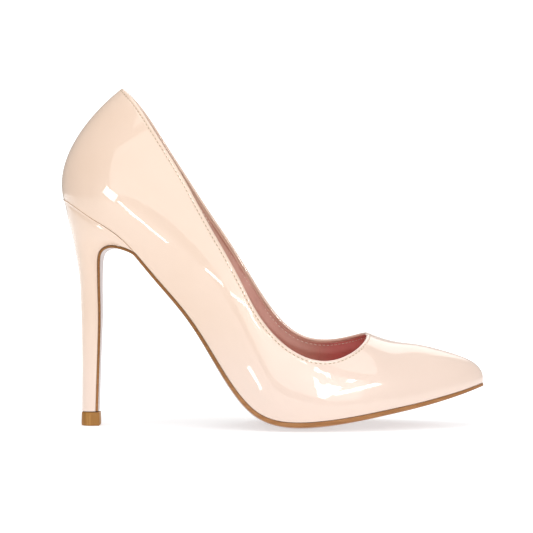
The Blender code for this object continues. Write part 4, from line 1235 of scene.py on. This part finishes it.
def add_light(name, place, towards, size, radiance, roll=0.0):
    """A rectangular light with its place and size in millimetres. It hides from the camera."""
    light = bpy.data.lights.new(name, "AREA")
    light.shape = "RECTANGLE"
    light.size, light.size_y = size[0] * MM, size[1] * MM
    light.energy = 4 * light.size * light.size_y * radiance
    thing = add_object(name, light)
    thing.location = Vector(place) * MM
    facing = Vector(np.asarray(place) - towards).to_track_quat("Z", "Y").to_matrix().to_4x4()
    thing.rotation_euler = (facing @ Matrix.Rotation(math.radians(roll), 4, "Z")).to_euler()
    thing.visible_camera = False
    return thing


def make_box_light(name, azimuth, elevation, size, radiance, distance=1300.0):
    """A soft box round the shoe. Azimuth 0 is the camera's side and 90 is in front of the toe."""
    turn, rise = math.radians(azimuth), math.radians(elevation)
    shoe = np.array([0.0, 0.0, 60.0])
    away = np.array([math.sin(turn) * math.cos(rise), -math.cos(turn) * math.cos(rise), math.sin(rise)])
    return add_light(name, shoe + away * distance, shoe, size, radiance)


def side_surface(x, z):
    """The upper's point and outward normal at a place of its lateral side."""
    least_facing, least_gap, far, count = -0.2, 0.01, 1e6, 5
    gap = (WALL[..., 0] - x) ** 2 + (WALL[..., 2] - z) ** 2
    gap += np.where(WALL_NORMALS[..., 1] < least_facing, least_gap, far)
    nearest = np.argsort(gap, axis=None)[:count]
    weight = 1 / gap.flat[nearest][:, None]
    point = np.sum(WALL.reshape(-1, 3)[nearest] * weight, axis=0) / np.sum(weight)
    return point, unit(np.sum(WALL_NORMALS.reshape(-1, 3)[nearest] * weight, axis=0))


def make_card_light(name, spot, distance, size, roll, radiance):
    """A lit card that stands where the camera sees it reflected at a spot (x, z) of the upper's side.

    It only makes the glint: the soft boxes light the surface round it.
    """
    point, normal = side_surface(*spot)
    sight = unit(point - CAMERA_PLACE)
    mirrored = sight - 2 * np.dot(sight, normal) * normal
    card = add_light(name, point + mirrored * distance, point, size, radiance, roll)
    card.visible_diffuse = False


# Name, spot of the side where the camera sees it, distance, size, roll in degrees, radiance
CARDS = (
    ("window_pane", (20.8, 28.8), 250, (24, 10), 42, 9),
    ("window_corner", (13.0, 33.5), 250, (18, 6), -9, 8),
    ("window_post", (22.2, 20.0), 250, (9, 105), -21, 9),
    ("window_sill", (40.0, 19.9), 250, (140, 22), 33, 9),
    ("heel_card", (-77.0, 111.9), 350, (80, 50), -35, 8),
    ("heel_strip_upper", (-68.1, 103.8), 100, (27, 4), -48, 9),
    ("heel_strip_lower", (-59.6, 96.7), 100, (25, 4), -45, 9),
    ("quarter_strip_upper", (-27.1, 72.3), 60, (14, 3), -9, 9),
    ("quarter_strip_lower", (-14.8, 61.0), 60, (52, 2), 9, 9),
    ("ball_strip", (-7.7, 24.3), 60, (11, 4), 126, 9),
)


def make_world():
    """Grey surroundings, darker behind the heel, with a white glow in the distance behind the shoe."""
    world = bpy.data.worlds.new("studio")
    world.use_nodes = True
    nodes, links = world.node_tree.nodes, world.node_tree.links
    direction = nodes.new("ShaderNodeTexCoord").outputs["Generated"]
    split = nodes.new("ShaderNodeSeparateXYZ")
    links.new(direction, split.inputs[0])
    levels = []
    for axis, low, high, dark, bright in (("X", -1.0, 1.0, 0.26, 0.42), ("Y", 0.93, 0.972, 0.0, 1.0)):
        level = nodes.new("ShaderNodeMapRange")
        level.interpolation_type = "SMOOTHSTEP"
        links.new(split.outputs[axis], level.inputs["Value"])
        for socket, value in (("From Min", low), ("From Max", high), ("To Min", dark), ("To Max", bright)):
            level.inputs[socket].default_value = value
        levels.append(level.outputs["Result"])
    total = nodes.new("ShaderNodeMath")
    links.new(levels[0], total.inputs[0])
    links.new(levels[1], total.inputs[1])
    nodes["Background"].inputs["Color"].default_value = (1, 1, 1, 1)
    links.new(total.outputs[0], nodes["Background"].inputs["Strength"])
    bpy.context.scene.world = world


def make_studio():
    """The soft boxes that light the shoe, and the lit cards whose reflections show on the patent."""
    make_world()
    make_box_light("top_box", 10, 75, (1200, 1070), 1.0)
    make_box_light("fill_box", 0, 25, (1300, 900), 0.98)
    back = make_box_light("back_box", -85, 60, (1300, 1100), 0.9)
    toe = make_box_light("toe_box", 62, 35, (900, 700), 0.65)
    # The edges of these two would show in the patent
    back.visible_glossy = toe.visible_glossy = False
    make_box_light("rear_box", 165, 45, (950, 700), 1.2)
    for card in CARDS:
        make_card_light(*card)
    bpy.context.scene.view_settings.view_transform = "Standard"


def make_camera():
    """Level camera on the lateral side, at the height of the shoe's middle."""
    lens, sensor = 112.6, 36.0
    camera = bpy.data.cameras.new("camera")
    camera.lens = lens
    camera.sensor_width = sensor
    thing = add_object("camera", camera)
    thing.location = Vector(CAMERA_PLACE) * MM
    thing.rotation_euler = (math.pi / 2, 0, 0)
    bpy.context.scene.camera = thing


make_camera()
make_studio()
make_floor()
dress_cad_nodes()
make_upper()
make_tape()
make_stitches()
make_linings()
make_sock()
make_outsole()
make_heel_cover()
make_top_lift()
